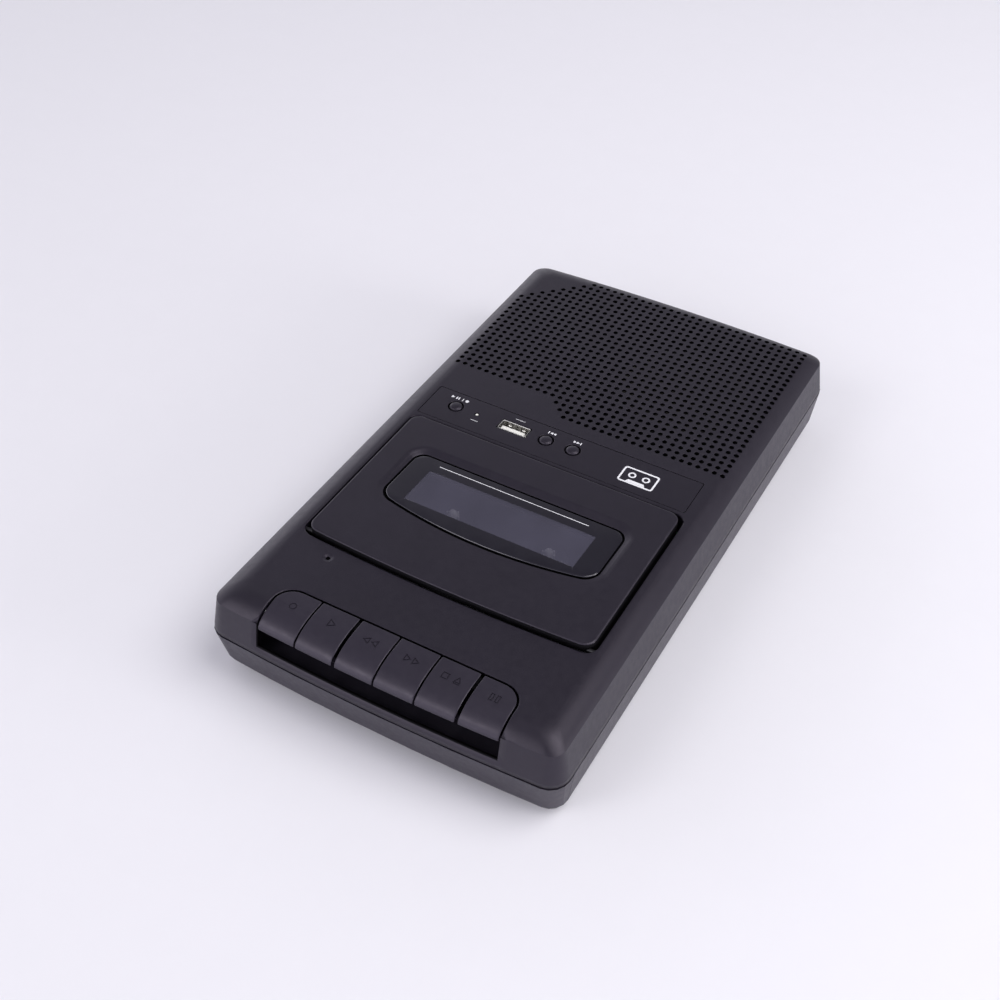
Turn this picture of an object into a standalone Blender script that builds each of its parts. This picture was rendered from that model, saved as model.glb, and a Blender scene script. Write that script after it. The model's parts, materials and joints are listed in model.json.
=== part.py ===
"""Portable cassette recorder of the flat shoebox kind, as an assembly of separate pieces.

X runs across the width, Y from the piano keys at the front (-Y) to the speaker at the back (+Y), and Z
is up. The origin is under the middle of the case, on the surface that the rubber feet stand on.
"""
import math

import bmesh
import bpy
from mathutils import Matrix

MM = 0.001
GAP = 0.3 * MM                  # clearance between pieces that touch in the real machine

# ---- case -------------------------------------------------------------------------------------------
CREASE_HALF_WIDTH = 71.2 * MM   # half width at the crisp edge where the top slope meets the side wall
CREASE_END = 125.55 * MM        # corner distance of that edge to the front and to the back
END_BOW = 2.4 * MM              # front and back bulge outwards by this much in the middle
CORNER_RADIUS = 5.4 * MM
WALL_DRAFT = 2.5 * MM           # the side walls lean outwards by this much down to the parting line
TOP_Z = 40.0 * MM               # flat top
CREASE_Z = 36.0 * MM
PARTING_Z = 21.5 * MM           # joint between the top and the bottom cover
UNDERSIDE_Z = 2.0 * MM
WALL = 2.2 * MM
TOP_UNDERSIDE_Z = 37.6 * MM
FLOOR_Z = 4.2 * MM              # inside face of the bottom cover's floor
INNER_WALL = 1.6 * MM

# ---- cassette door ----------------------------------------------------------------------------------
OPENING_HALF_WIDTH = 61.6 * MM
OPENING_BACK = -2.05 * MM
OPENING_FRONT = -82.6 * MM
OPENING_BOW = 2.1 * MM
DOOR_GAP = 1.6 * MM
DOOR_BOTTOM_Z = 38.6 * MM
DOOR_TOP_Z = 41.6 * MM
DOOR_AXIS_Y, DOOR_AXIS_Z = -79.5 * MM, 38.0 * MM
DOOR_PIN_RADIUS = 0.9 * MM
LENS_HALF_WIDTH, LENS_BACK, LENS_FRONT, LENS_BOW = 46.0 * MM, -22.5 * MM, -51.0 * MM, 6.0 * MM
WINDOW_HALF_WIDTH, WINDOW_BACK, WINDOW_FRONT = 36.6 * MM, -30.2 * MM, -49.4 * MM

# ---- keys -------------------------------------------------------------------------------------------
KEY_NAMES = ("record_key", "play_key", "rewind_key", "fast_forward_key", "stop_eject_key", "pause_key")
KEY_PITCH = 16.55 * MM
KEY_SPACE = 0.9 * MM
KEY_SLOT_HALF_WIDTH = 49.9 * MM
KEY_SLOT_BACK = -108.3 * MM
KEY_SLOT_BOTTOM_Z = 25.5 * MM
KEY_SLOT_RADIUS = 8.0 * MM
KEY_AXIS_Y, KEY_AXIS_Z = -97.0 * MM, 31.0 * MM
KEY_SHAFT_RADIUS = 1.2 * MM
KEY_BOSS_RADIUS = 3.0 * MM

# ---- transport --------------------------------------------------------------------------------------
HUB_X, HUB_Y = 21.25 * MM, -38.5 * MM      # compact cassette hubs are 42.5 mm apart
CHASSIS_Z, CHASSIS_TOP_Z = 24.0 * MM, 25.4 * MM
CAPSTAN_X, CAPSTAN_Y = 23.5 * MM, -66.6 * MM
FLYWHEEL_RADIUS = 26.0 * MM
MOTOR_X, MOTOR_Y, MOTOR_RADIUS, PULLEY_RADIUS = -33.0 * MM, -76.0 * MM, 12.5 * MM, 4.0 * MM
PINCH_PIVOT_X, PINCH_PIVOT_Y = 41.0 * MM, -76.0 * MM
ROLLER_X, ROLLER_Y, ROLLER_RADIUS = 24.5 * MM, -78.8 * MM, 5.3 * MM
IDLER_X, IDLER_Y = 22.65 * MM, -56.03 * MM
HEAD_Z = 27.2 * MM                        # underside of the heads and the pinch arm
POST_X, POST_YS = 52.0 * MM, (-88.0 * MM, -12.0 * MM)   # posts that carry the chassis

# ---- control strip ----------------------------------------------------------------------------------
STRIP_LEFT, STRIP_RIGHT, STRIP_FRONT, STRIP_BACK = -61.0 * MM, 59.6 * MM, -0.15 * MM, 18.85 * MM
STRIP_UNDERSIDE_Z = 38.7 * MM
CONTROL_Y = 10.5 * MM
BUTTONS = (("play_record_button", -48.9 * MM), ("previous_button", -6.5 * MM), ("next_button", 5.7 * MM))
BUTTON_RADIUS, BUTTON_HOLE_RADIUS, BUTTON_TOP_Z = 2.95 * MM, 3.35 * MM, 40.7 * MM
LED_X, LED_RADIUS = -38.8 * MM, 0.8 * MM
USB_X, USB_WIDTH, USB_DEPTH = -21.2 * MM, 13.1 * MM, 5.8 * MM
USB_BOARD_TOP_Z = 25.4 * MM

# ---- grille: every fourth hole of the real square pattern, in every fourth row -------------------------
GRILLE_PITCH = 3.56 * MM
GRILLE_FIRST_ROW_Y = 27.05 * MM
GRILLE_COLUMNS, GRILLE_ROWS = range(-16, 17, 4), range(1, 26, 4)
GRILLE_HOLE_RADIUS = 1.1 * MM
GRILLE_LOW_ROWS, GRILLE_LOW_COLUMN = 3, -2      # the first rows only start right of the middle
GRILLE_CORNER = 37                              # the pattern's back left corner is cut off at 45 degrees

# ---- handle, battery bay, speaker, left side ----------------------------------------------------------
HANDLE_BACK = -118.0 * MM
ARM_INNER_X, ARM_OUTER_X, ARM_BACK = 65.4 * MM, 68.2 * MM, -60.0 * MM
ARM_Z, ARM_TOP_Z = 7.2 * MM, 13.8 * MM
BAY_LEFT, BAY_RIGHT, BAY_FRONT, BAY_BACK, BAY_TOP_Z = -66.0 * MM, -6.0 * MM, 56.0 * MM, 109.0 * MM, 20.3 * MM
SPEAKER_X, SPEAKER_Y = 28.0 * MM, 72.0 * MM
WHEEL_X, WHEEL_Y, WHEEL_RADIUS, WHEEL_Z, WHEEL_TOP_Z = (
    -65.6 * MM, -8.0 * MM, 8.0 * MM, 27.5 * MM, 30.0 * MM)
SIDE_JACKS = (("earphone_jack", -26.0 * MM, 3.4 * MM, 1.8 * MM),
              ("microphone_jack", -40.0 * MM, 3.4 * MM, 1.8 * MM),
              ("dc_power_jack", -56.0 * MM, 4.2 * MM, 2.8 * MM))
JACK_Z = 27.0 * MM
MICROPHONE_X, MICROPHONE_Y = -44.4 * MM, -89.5 * MM
FRONT_SCREWS, REAR_SCREWS = (60.0 * MM, -110.0 * MM), (47.5 * MM, 119.0 * MM)
FEET = (("foot_front_left", -60.0 * MM, -99.0 * MM), ("foot_front_right", 60.0 * MM, -99.0 * MM),
        ("foot_rear_left", -60.0 * MM, 118.4 * MM), ("foot_rear_right", 60.0 * MM, 118.4 * MM))
FOOT_RADIUS = 4.2 * MM

for old in list(bpy.data.objects):
    bpy.data.objects.remove(old, do_unlink=True)

PARTS = bpy.data.collections.new("portable_cassette_recorder")
CUTTERS = bpy.data.collections.new("cutters")
bpy.context.scene.collection.children.link(PARTS)
bpy.context.scene.collection.children.link(CUTTERS)


# ---- materials --------------------------------------------------------------------------------------
def make_material(name, colour, roughness, metallic=0.0):
    material = bpy.data.materials.new(name)
    material.use_nodes = True
    shader = material.node_tree.nodes["Principled BSDF"]
    shader.inputs["Base Color"].default_value = (*colour, 1.0)
    shader.inputs["Roughness"].default_value = roughness
    shader.inputs["Metallic"].default_value = metallic
    return material


CASE_PLASTIC = ("case_plastic", (0.036, 0.034, 0.042), 0.55, 0.0)
KEY_PLASTIC = ("key_plastic", (0.050, 0.048, 0.058), 0.45, 0.0)
GLOSS_BLACK = ("gloss_black", (0.012, 0.012, 0.014), 0.12, 0.0)
INNER_PLASTIC = ("inner_plastic", (0.075, 0.072, 0.086), 0.60, 0.0)
STEEL = ("steel", (0.55, 0.56, 0.58), 0.30, 1.0)
RUBBER = ("rubber", (0.020, 0.020, 0.022), 0.85, 0.0)
BOARD = ("circuit_board", (0.05, 0.20, 0.08), 0.50, 0.0)
PAPER = ("speaker_paper", (0.06, 0.055, 0.05), 0.90, 0.0)
FERRITE = ("ferrite", (0.07, 0.07, 0.075), 0.70, 0.0)
WHITE_PLASTIC = ("white_plastic", (0.78, 0.78, 0.76), 0.40, 0.0)
NATURAL_PLASTIC = ("natural_plastic", (0.55, 0.54, 0.50), 0.45, 0.0)


# ---- shape helpers ----------------------------------------------------------------------------------
def finish(obj, name, look):
    """Name a finished piece, give it its own material and put it with the parts."""
    obj.name = name
    obj.data.name = name
    obj.data.materials.clear()
    obj.data.materials.append(make_material(name + "_" + look[0], *look[1:]))
    return obj


def move_to(obj, collection):
    for owner in list(obj.users_collection):
        owner.objects.unlink(obj)
    collection.objects.link(obj)


def put_away(obj):
    """Turn an object into a hidden cutter."""
    move_to(obj, CUTTERS)
    obj.hide_render = True
    obj.display_type = "WIRE"
    return obj


def combine(obj, tool, operation):
    put_away(tool)
    modifier = obj.modifiers.new(operation.lower() + "_" + tool.name, "BOOLEAN")
    modifier.operation = operation
    modifier.solver = "EXACT"
    modifier.object = tool
    return obj


def cut(obj, *tools):
    for tool in tools:
        combine(obj, tool, "DIFFERENCE")
    return obj


def join(obj, *tools):
    for tool in tools:
        combine(obj, tool, "UNION")
    return obj


def box(x0, x1, y0, y1, z0, z1):
    """Box between two corners, made from the cube primitive with its scale applied to the mesh."""
    bpy.ops.mesh.primitive_cube_add(size=1.0)
    obj = bpy.context.object
    obj.data.transform(Matrix.Diagonal((x1 - x0, y1 - y0, z1 - z0, 1.0)))
    obj.location = ((x0 + x1) / 2, (y0 + y1) / 2, (z0 + z1) / 2)
    move_to(obj, PARTS)
    return obj


def rod(radius, x, y, z0, z1, sides=20):
    """Upright cylinder."""
    bpy.ops.mesh.primitive_cylinder_add(vertices=sides, radius=radius, depth=z1 - z0,
                                        location=(x, y, (z0 + z1) / 2))
    obj = bpy.context.object
    obj.data.shade_smooth()
    obj.data.set_sharp_from_angle(angle=math.radians(35))
    move_to(obj, PARTS)
    return obj


def cross_rod(radius, x0, x1, y, z, sides=20):
    """Cylinder lying along X."""
    obj = rod(radius, 0.0, 0.0, 0.0, x1 - x0, sides)
    obj.rotation_euler = (0.0, math.pi / 2, 0.0)
    obj.location = ((x0 + x1) / 2, y, z)
    return obj


def in_metres(profile):
    return [(radius * MM, height * MM) for radius, height in profile]


def turned(profile, x, y, steps=32, closed=False):
    """Turned shape: a profile of (radius, height) points, going down its outer side, with a Screw."""
    mesh = bpy.data.meshes.new("profile")
    edges = [(i, i + 1) for i in range(len(profile) - 1)]
    if closed:
        edges.append((len(profile) - 1, 0))
    mesh.from_pydata([(r, 0.0, z) for r, z in profile], edges, [])
    obj = bpy.data.objects.new("turned", mesh)
    PARTS.objects.link(obj)
    obj.location = (x, y, 0.0)
    screw = obj.modifiers.new("turn", "SCREW")
    screw.axis = "Z"
    screw.steps = screw.render_steps = steps
    screw.use_merge_vertices = True
    screw.merge_threshold = 0.00001
    screw.use_smooth_shade = True
    return obj


def arc(cx, cy, radius, start, end, steps):
    """Points on a circle from one angle to another, in degrees."""
    points = []
    for i in range(steps + 1):
        angle = math.radians(start + (end - start) * i / steps)
        points.append((cx + radius * math.cos(angle), cy + radius * math.sin(angle)))
    return points


def plate(outline, z0, z1):
    """Flat outline as a filled 2D curve with thickness, made into a mesh so that it can be cut."""
    curve = bpy.data.curves.new("plate", "CURVE")
    curve.dimensions = "2D"
    curve.fill_mode = "BOTH"
    curve.extrude = (z1 - z0) / 2
    spline = curve.splines.new("POLY")
    spline.points.add(len(outline) - 1)
    for point, (x, y) in zip(spline.points, outline):
        point.co = (x, y, 0.0, 1.0)
    spline.use_cyclic_u = True
    flat = bpy.data.objects.new("plate", curve)
    PARTS.objects.link(flat)
    bpy.context.view_layer.update()
    mesh = bpy.data.meshes.new_from_object(flat.evaluated_get(bpy.context.evaluated_depsgraph_get()))
    bpy.data.objects.remove(flat, do_unlink=True)
    clean = bmesh.new()
    clean.from_mesh(mesh)
    bmesh.ops.remove_doubles(clean, verts=clean.verts, dist=0.000001)
    bmesh.ops.recalc_face_normals(clean, faces=clean.faces)
    clean.to_mesh(mesh)
    clean.free()
    obj = bpy.data.objects.new("plate", mesh)
    obj.location = (0.0, 0.0, (z0 + z1) / 2)
    PARTS.objects.link(obj)
    return obj


def side_profile(outline, x0, x1):
    """Outline in the Y-Z plane, given as (y, z), with its thickness along X."""
    obj = plate(outline, x0, x1)
    # (x, y, z) of the plate becomes (z, x, y): the outline stands up and its thickness lies along X
    obj.data.transform(Matrix(((0, 0, 1, 0), (1, 0, 0, 0), (0, 1, 0, 0), (0, 0, 0, 1))))
    obj.location = ((x0 + x1) / 2, 0.0, 0.0)
    return obj


def case_outline(half_width, front, back, radius, front_bow=END_BOW, back_bow=END_BOW, bow_steps=8):
    """Rounded rectangle, anticlockwise, whose front and back sides bulge outwards."""
    points = []
    points += arc(half_width - radius, back - radius, radius, 0, 90, 4)
    for i in range(1, bow_steps):
        points.append(((half_width - radius) * (1 - 2 * i / bow_steps), back))
    points += arc(-half_width + radius, back - radius, radius, 90, 180, 4)
    points += arc(-half_width + radius, front + radius, radius, 180, 270, 4)
    for i in range(1, bow_steps):
        points.append(((half_width - radius) * (2 * i / bow_steps - 1), front))
    points += arc(half_width - radius, front + radius, radius, 270, 360, 4)
    bowed = []
    for x, y in points:
        bulge = 1 - (x / half_width) ** 2
        if y > back - radius:
            y += back_bow * bulge
        elif y < front + radius:
            y -= front_bow * bulge
        bowed.append((x, y))
    return bowed


def loft(levels):
    """Solid through outlines with equal point counts, listed from the bottom up as (outline, z)."""
    mesh = bpy.data.meshes.new("loft")
    shape = bmesh.new()
    rings = [[shape.verts.new((x, y, z)) for x, y in outline] for outline, z in levels]
    for low, high in zip(rings, rings[1:]):
        count = len(low)
        for i in range(count):
            j = (i + 1) % count
            shape.faces.new((low[i], low[j], high[j], high[i]))
    shape.faces.new(list(reversed(rings[0])))
    shape.faces.new(rings[-1])
    shape.to_mesh(mesh)
    shape.free()
    obj = bpy.data.objects.new("loft", mesh)
    PARTS.objects.link(obj)
    return obj


def set_origin(obj, x, y, z):
    """Move the object's origin onto a joint axis without moving its shape."""
    shift = Matrix.Translation((obj.location.x - x, obj.location.y - y, obj.location.z - z))
    obj.data.transform(shift)
    obj.location = (x, y, z)
    return obj


# ---- case -------------------------------------------------------------------------------------------
def crease_level(inset, radius=CORNER_RADIUS):
    return case_outline(CREASE_HALF_WIDTH - inset, -CREASE_END + inset, CREASE_END - inset, radius)


def lower_shell():
    """Outer shape of the lower half of the case: it narrows downwards, most of all at the front."""
    parting = crease_level(-WALL_DRAFT, 7.5 * MM)
    return loft((
        (case_outline(69.0 * MM, -121.0 * MM, 123.4 * MM, 5.0 * MM), UNDERSIDE_Z),
        (case_outline(70.9 * MM, -122.8 * MM, 125.2 * MM, 6.0 * MM), 2.9 * MM),
        (case_outline(72.1 * MM, -124.2 * MM, 126.4 * MM, 6.5 * MM), 5.5 * MM),
        (parting, PARTING_Z - GAP / 2),
    ))


def grille_holes():
    """One object holding the prisms that cut the coarse speaker grille."""
    shape = bmesh.new()
    for row in GRILLE_ROWS:
        for column in GRILLE_COLUMNS:
            behind_strip_end = row < GRILLE_LOW_ROWS and column < GRILLE_LOW_COLUMN - row
            beyond_cut_corner = row > GRILLE_CORNER + column
            if behind_strip_end or beyond_cut_corner:
                continue
            centre = Matrix.Translation((column * GRILLE_PITCH, GRILLE_FIRST_ROW_Y + row * GRILLE_PITCH,
                                         TOP_Z))
            bmesh.ops.create_cone(shape, cap_ends=True, segments=6, radius1=GRILLE_HOLE_RADIUS,
                                  radius2=GRILLE_HOLE_RADIUS, depth=12.0 * MM, matrix=centre)
    mesh = bpy.data.meshes.new("grille_holes")
    shape.to_mesh(mesh)
    shape.free()
    obj = bpy.data.objects.new("grille_holes", mesh)
    PARTS.objects.link(obj)
    return obj


def key_slot_outline(margin=0.0):
    half, back, radius = KEY_SLOT_HALF_WIDTH - margin, KEY_SLOT_BACK - margin, KEY_SLOT_RADIUS
    points = [(-half, -140.0 * MM), (half, -140.0 * MM)]
    points += arc(half - radius, back - radius, radius, 0, 90, 5)
    points += arc(-half + radius, back - radius, radius, 90, 180, 5)
    return points


def door_outline(margin):
    """Outline of the cassette opening, drawn in by a margin: its front side is bowed."""
    half = OPENING_HALF_WIDTH - margin
    return case_outline(half, OPENING_FRONT + margin, OPENING_BACK - margin, 4.5 * MM,
                        front_bow=OPENING_BOW, back_bow=0.0)


def build_top_cover():
    outer = loft((
        (crease_level(-WALL_DRAFT, 7.5 * MM), PARTING_Z + GAP / 2),
        (crease_level(0.0), CREASE_Z),
        (crease_level(2.8 * MM), 38.3 * MM),
        (crease_level(6.0 * MM), 39.6 * MM),
        (crease_level(8.8 * MM), TOP_Z),
    ))
    inner = loft((
        (crease_level(0.1 * MM, 5.6 * MM), 17.0 * MM),
        (crease_level(WALL, 4.6 * MM), 34.0 * MM),
        (crease_level(4.2 * MM, 4.0 * MM), 36.4 * MM),
        (crease_level(9.0 * MM, 4.0 * MM), TOP_UNDERSIDE_Z),
    ))
    cover = cut(outer, inner)
    # ledge and back wall of the finger gap under the keys
    join(cover, box(-51.8 * MM, 51.8 * MM, -126.4 * MM, -112.0 * MM, 23.3 * MM, KEY_SLOT_BOTTOM_Z))
    for side in (-1, 1):
        for x, y in (FRONT_SCREWS, REAR_SCREWS):
            join(cover, rod(3.5 * MM, side * x, y, PARTING_Z + 0.2 * MM, 38.4 * MM, 12))
        inner_x, outer_x = sorted((side * 62.2 * MM, side * 66.4 * MM))
        join(cover, box(inner_x, outer_x, -82.0 * MM, -77.0 * MM, 35.2 * MM, 38.2 * MM))
    for x in (-33.0 * MM, -0.5 * MM):
        join(cover, rod(1.8 * MM, x, 4.4 * MM, USB_BOARD_TOP_Z + GAP, 38.2 * MM, 10))
    cut(cover, plate(key_slot_outline(), KEY_SLOT_BOTTOM_Z, 45.0 * MM),
        plate(door_outline(0.0), 30.0 * MM, 45.0 * MM),
        box(STRIP_LEFT - GAP, STRIP_RIGHT + GAP, STRIP_FRONT - GAP, STRIP_BACK + GAP,
            STRIP_UNDERSIDE_Z - GAP, 45.0 * MM))
    join(cover, box(-51.8 * MM, 51.8 * MM, -113.6 * MM, -112.0 * MM, 24.0 * MM, 30.6 * MM))
    cut(cover, usb_hole(), *button_holes(), rod(LED_RADIUS + GAP, LED_X, CONTROL_Y, 30.0 * MM, 45.0 * MM, 10),
        rod(0.9 * MM, MICROPHONE_X, MICROPHONE_Y, 30.0 * MM, 45.0 * MM, 10), grille_holes())
    for side in (-1, 1):
        for x, y in (FRONT_SCREWS, REAR_SCREWS):
            cut(cover, rod(1.4 * MM, side * x, y, 10.0 * MM, 28.0 * MM, 10))
    cut(cover, cross_rod(DOOR_PIN_RADIUS + GAP, -64.6 * MM, 64.6 * MM, DOOR_AXIS_Y, DOOR_AXIS_Z, 12),
        box(-77.0 * MM, -68.0 * MM, WHEEL_Y - 7.0 * MM, WHEEL_Y + 7.0 * MM, WHEEL_Z - GAP, WHEEL_TOP_Z + GAP))
    for _, y, radius, _ in SIDE_JACKS:
        cut(cover, cross_rod(radius + GAP, -78.0 * MM, -66.0 * MM, y, JACK_Z, 16))
    return finish(cover, "top_cover", CASE_PLASTIC)


def usb_hole():
    return box(USB_X - USB_WIDTH / 2 - GAP, USB_X + USB_WIDTH / 2 + GAP, CONTROL_Y - USB_DEPTH / 2 - GAP,
               CONTROL_Y + USB_DEPTH / 2 + GAP, 30.0 * MM, 45.0 * MM)


def button_holes():
    return [rod(BUTTON_HOLE_RADIUS, x, CONTROL_Y, 30.0 * MM, 45.0 * MM, 16) for _, x in BUTTONS]


def build_bottom_cover():
    shell = lower_shell()
    inner = loft((
        (case_outline(66.4 * MM, -115.5 * MM, 121.6 * MM, 4.5 * MM, front_bow=0.0), FLOOR_Z),
        (case_outline(68.8 * MM, -115.5 * MM, 124.0 * MM, 5.0 * MM, front_bow=0.0), 7.0 * MM),
        (case_outline(71.5 * MM, -115.5 * MM, 125.8 * MM, 5.6 * MM, front_bow=0.0), PARTING_Z + 0.5 * MM),
    ))
    cut(shell, inner, box(-80.0 * MM, 80.0 * MM, -140.0 * MM, HANDLE_BACK + GAP, 0.0, 30.0 * MM))
    # battery bay, chassis posts, screw bosses and board posts
    join(shell, box(BAY_LEFT - INNER_WALL, BAY_RIGHT + INNER_WALL, BAY_FRONT - INNER_WALL,
                    BAY_BACK + INNER_WALL, 3.0 * MM, BAY_TOP_Z + INNER_WALL))
    for side in (-1, 1):
        for y in POST_YS:
            join(shell, rod(3.0 * MM, side * POST_X, y, 3.0 * MM, CHASSIS_Z - GAP, 12))
        for x, y in (FRONT_SCREWS, REAR_SCREWS):
            join(shell, rod(3.8 * MM, side * x, y, 3.0 * MM, PARTING_Z - GAP, 12))
    for x in (2.0 * MM, 56.0 * MM):
        join(shell, rod(2.5 * MM, x, 14.0 * MM, 3.0 * MM, 11.7 * MM, 10))
    cut(shell, box(BAY_LEFT, BAY_RIGHT, BAY_FRONT, BAY_BACK, 0.0, BAY_TOP_Z),
        box(-80.0 * MM, BAY_RIGHT + GAP, BAY_FRONT - 3.0 * MM, BAY_BACK + 3.0 * MM, 0.0, FLOOR_Z))
    for side in (-1, 1):
        x0, x1 = sorted((side * (ARM_INNER_X - GAP), side * (ARM_OUTER_X + GAP)))
        cut(shell, box(x0, x1, -120.0 * MM, -113.0 * MM, ARM_Z - GAP, ARM_TOP_Z + GAP))
        for x, y in (FRONT_SCREWS, REAR_SCREWS):
            cut(shell, rod(1.4 * MM, side * x, y, 0.0, 30.0 * MM, 10),
                rod(3.1 * MM, side * x, y, 0.0, 4.7 * MM, 12))
    return finish(shell, "bottom_cover", CASE_PLASTIC)


def build_battery_door():
    door = lower_shell()
    combine(door, box(-80.0 * MM, BAY_RIGHT, BAY_FRONT - 2.7 * MM, BAY_BACK + 2.7 * MM, 0.0, FLOOR_Z - GAP),
            "INTERSECT")
    return finish(door, "battery_door", CASE_PLASTIC)


def build_handle():
    """Pull-out handle: the lower front of the case on two flat arms that run inside the side walls."""
    bar = lower_shell()
    combine(bar, box(-80.0 * MM, 80.0 * MM, -140.0 * MM, HANDLE_BACK, 0.0, PARTING_Z - 0.5 * MM), "INTERSECT")
    cut(bar, plate(case_outline(62.6 * MM, -122.6 * MM, -100.0 * MM, 4.0 * MM, back_bow=0.0), 0.0, 18.1 * MM),
        box(-28.5 * MM, 28.5 * MM, -140.0 * MM, -110.0 * MM, 0.0, 4.3 * MM))
    for side in (-1, 1):
        x0, x1 = sorted((side * ARM_INNER_X, side * ARM_OUTER_X))
        join(bar, box(x0, x1, -120.0 * MM, ARM_BACK, ARM_Z, ARM_TOP_Z))
    return finish(bar, "pull_handle", CASE_PLASTIC)


def build_screws_and_feet():
    shaft, head = 1.1 * MM, 2.7 * MM
    profile = ((0.0, 26.0 * MM), (shaft, 25.0 * MM), (shaft, 4.4 * MM), (head, 4.4 * MM), (head, 2.6 * MM),
               (0.0, 2.6 * MM))
    for end, (x, y) in (("front", FRONT_SCREWS), ("rear", REAR_SCREWS)):
        for side, word in ((-1, "left"), (1, "right")):
            finish(turned(profile, side * x, y, 12), "case_screw_%s_%s" % (end, word), STEEL)
    for name, x, y in FEET:
        foot = ((0.0, UNDERSIDE_Z - GAP), (FOOT_RADIUS, UNDERSIDE_Z - GAP), (FOOT_RADIUS, 0.5 * MM),
                (FOOT_RADIUS - 0.5 * MM, 0.0), (0.0, 0.0))
        finish(turned(foot, x, y, 20), name, RUBBER)


# ---- cassette door ----------------------------------------------------------------------------------
def build_cassette_door():
    edge = 1.1 * MM
    panel = loft(((door_outline(DOOR_GAP), DOOR_BOTTOM_Z), (door_outline(DOOR_GAP), DOOR_TOP_Z - edge),
                  (door_outline(DOOR_GAP + edge), DOOR_TOP_Z)))
    for side in (-1, 1):
        x0, x1 = sorted((side * 48.0 * MM, side * 52.0 * MM))
        join(panel, box(x0, x1, -81.6 * MM, -77.6 * MM, 36.4 * MM, 39.2 * MM))
    lens_seat = case_outline(LENS_HALF_WIDTH + GAP, LENS_FRONT - GAP, LENS_BACK + GAP, 5.0 * MM,
                             front_bow=LENS_BOW, back_bow=0.0)
    cut(panel, plate(lens_seat, 40.3 * MM, 45.0 * MM),
        box(-WINDOW_HALF_WIDTH, WINDOW_HALF_WIDTH, WINDOW_FRONT, WINDOW_BACK, 35.0 * MM, 45.0 * MM),
        cross_rod(DOOR_PIN_RADIUS + GAP, -62.0 * MM, 62.0 * MM, DOOR_AXIS_Y, DOOR_AXIS_Z, 12))
    finish(set_origin(panel, 0.0, DOOR_AXIS_Y, DOOR_AXIS_Z), "cassette_door", CASE_PLASTIC)

    lens = case_outline(LENS_HALF_WIDTH, LENS_FRONT, LENS_BACK, 5.0 * MM, front_bow=LENS_BOW, back_bow=0.0)
    finish(plate(lens, 40.6 * MM, 41.9 * MM), "window_lens", GLOSS_BLACK)

    for side, word in ((-1, "left"), (1, "right")):
        x0, x1 = sorted((side * 53.9 * MM, side * 55.4 * MM))
        guide = box(x0, x1, -72.0 * MM, -12.0 * MM, 26.2 * MM, DOOR_BOTTOM_Z - GAP)
        x0, x1 = sorted((side * 48.2 * MM, side * 54.6 * MM))
        join(guide, box(x0, x1, -72.0 * MM, -12.0 * MM, 26.2 * MM, 27.2 * MM))
        finish(guide, "cassette_guide_" + word, INNER_PLASTIC)
    pin = cross_rod(DOOR_PIN_RADIUS, -64.2 * MM, 64.2 * MM, DOOR_AXIS_Y, DOOR_AXIS_Z, 12)
    finish(pin, "door_hinge_pin", STEEL)


# ---- keys -------------------------------------------------------------------------------------------
def key_profile(bow):
    """Side view of a key: a cap that rolls over the front edge, and an arm back to its boss."""
    cap = [(-109.0, 39.9), (-115.5, 39.9), (-119.5, 39.3), (-122.8, 38.1), (-125.1, 36.5), (-126.0, 35.0),
           (-126.2, 33.7), (-124.2, 33.7), (-123.5, 34.9), (-121.0, 36.2), (-117.0, 37.2), (-111.0, 36.4)]
    points = []
    for y, z in cap:
        y, z = y * MM, z * MM
        if y < -120.0 * MM:
            y -= bow
        points.append((y, z))
    points.append((-100.4 * MM, 29.2 * MM))
    points += arc(KEY_AXIS_Y, KEY_AXIS_Z, KEY_BOSS_RADIUS, 250, 460, 7)
    points += [(-103.6 * MM, 35.2 * MM), (-109.0 * MM, 36.9 * MM)]
    return points


def corner_cutter(side):
    """What lies outside the rounded back corner of the slot, above the arm."""
    half, back = KEY_SLOT_HALF_WIDTH - 0.7 * MM, KEY_SLOT_BACK - 0.6 * MM
    radius = KEY_SLOT_RADIUS - 0.6 * MM
    points = arc(half - radius, back - radius, radius, 0, 90, 5)
    points += [(half - radius, -100.0 * MM), (60.0 * MM, -100.0 * MM), (60.0 * MM, back - radius)]
    if side < 0:
        points = [(-x, y) for x, y in reversed(points)]
    return plate(points, 37.0 * MM, 45.0 * MM)


def build_keys():
    for index, name in enumerate(KEY_NAMES):
        x0 = (index - 3) * KEY_PITCH + KEY_SPACE / 2
        x1 = x0 + KEY_PITCH - KEY_SPACE
        middle = (x0 + x1) / 2
        bow = END_BOW * (1 - (middle / CREASE_HALF_WIDTH) ** 2)
        key = side_profile(key_profile(bow), x0, x1)
        cut(key, cross_rod(KEY_SHAFT_RADIUS + GAP, -60.0 * MM, 60.0 * MM, KEY_AXIS_Y, KEY_AXIS_Z, 12))
        if index in (0, len(KEY_NAMES) - 1):
            cut(key, corner_cutter(-1 if index == 0 else 1))
        finish(set_origin(key, middle, KEY_AXIS_Y, KEY_AXIS_Z), name, KEY_PLASTIC)
    finish(cross_rod(KEY_SHAFT_RADIUS, -54.0 * MM, 54.0 * MM, KEY_AXIS_Y, KEY_AXIS_Z, 12), "key_shaft", STEEL)


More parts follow.
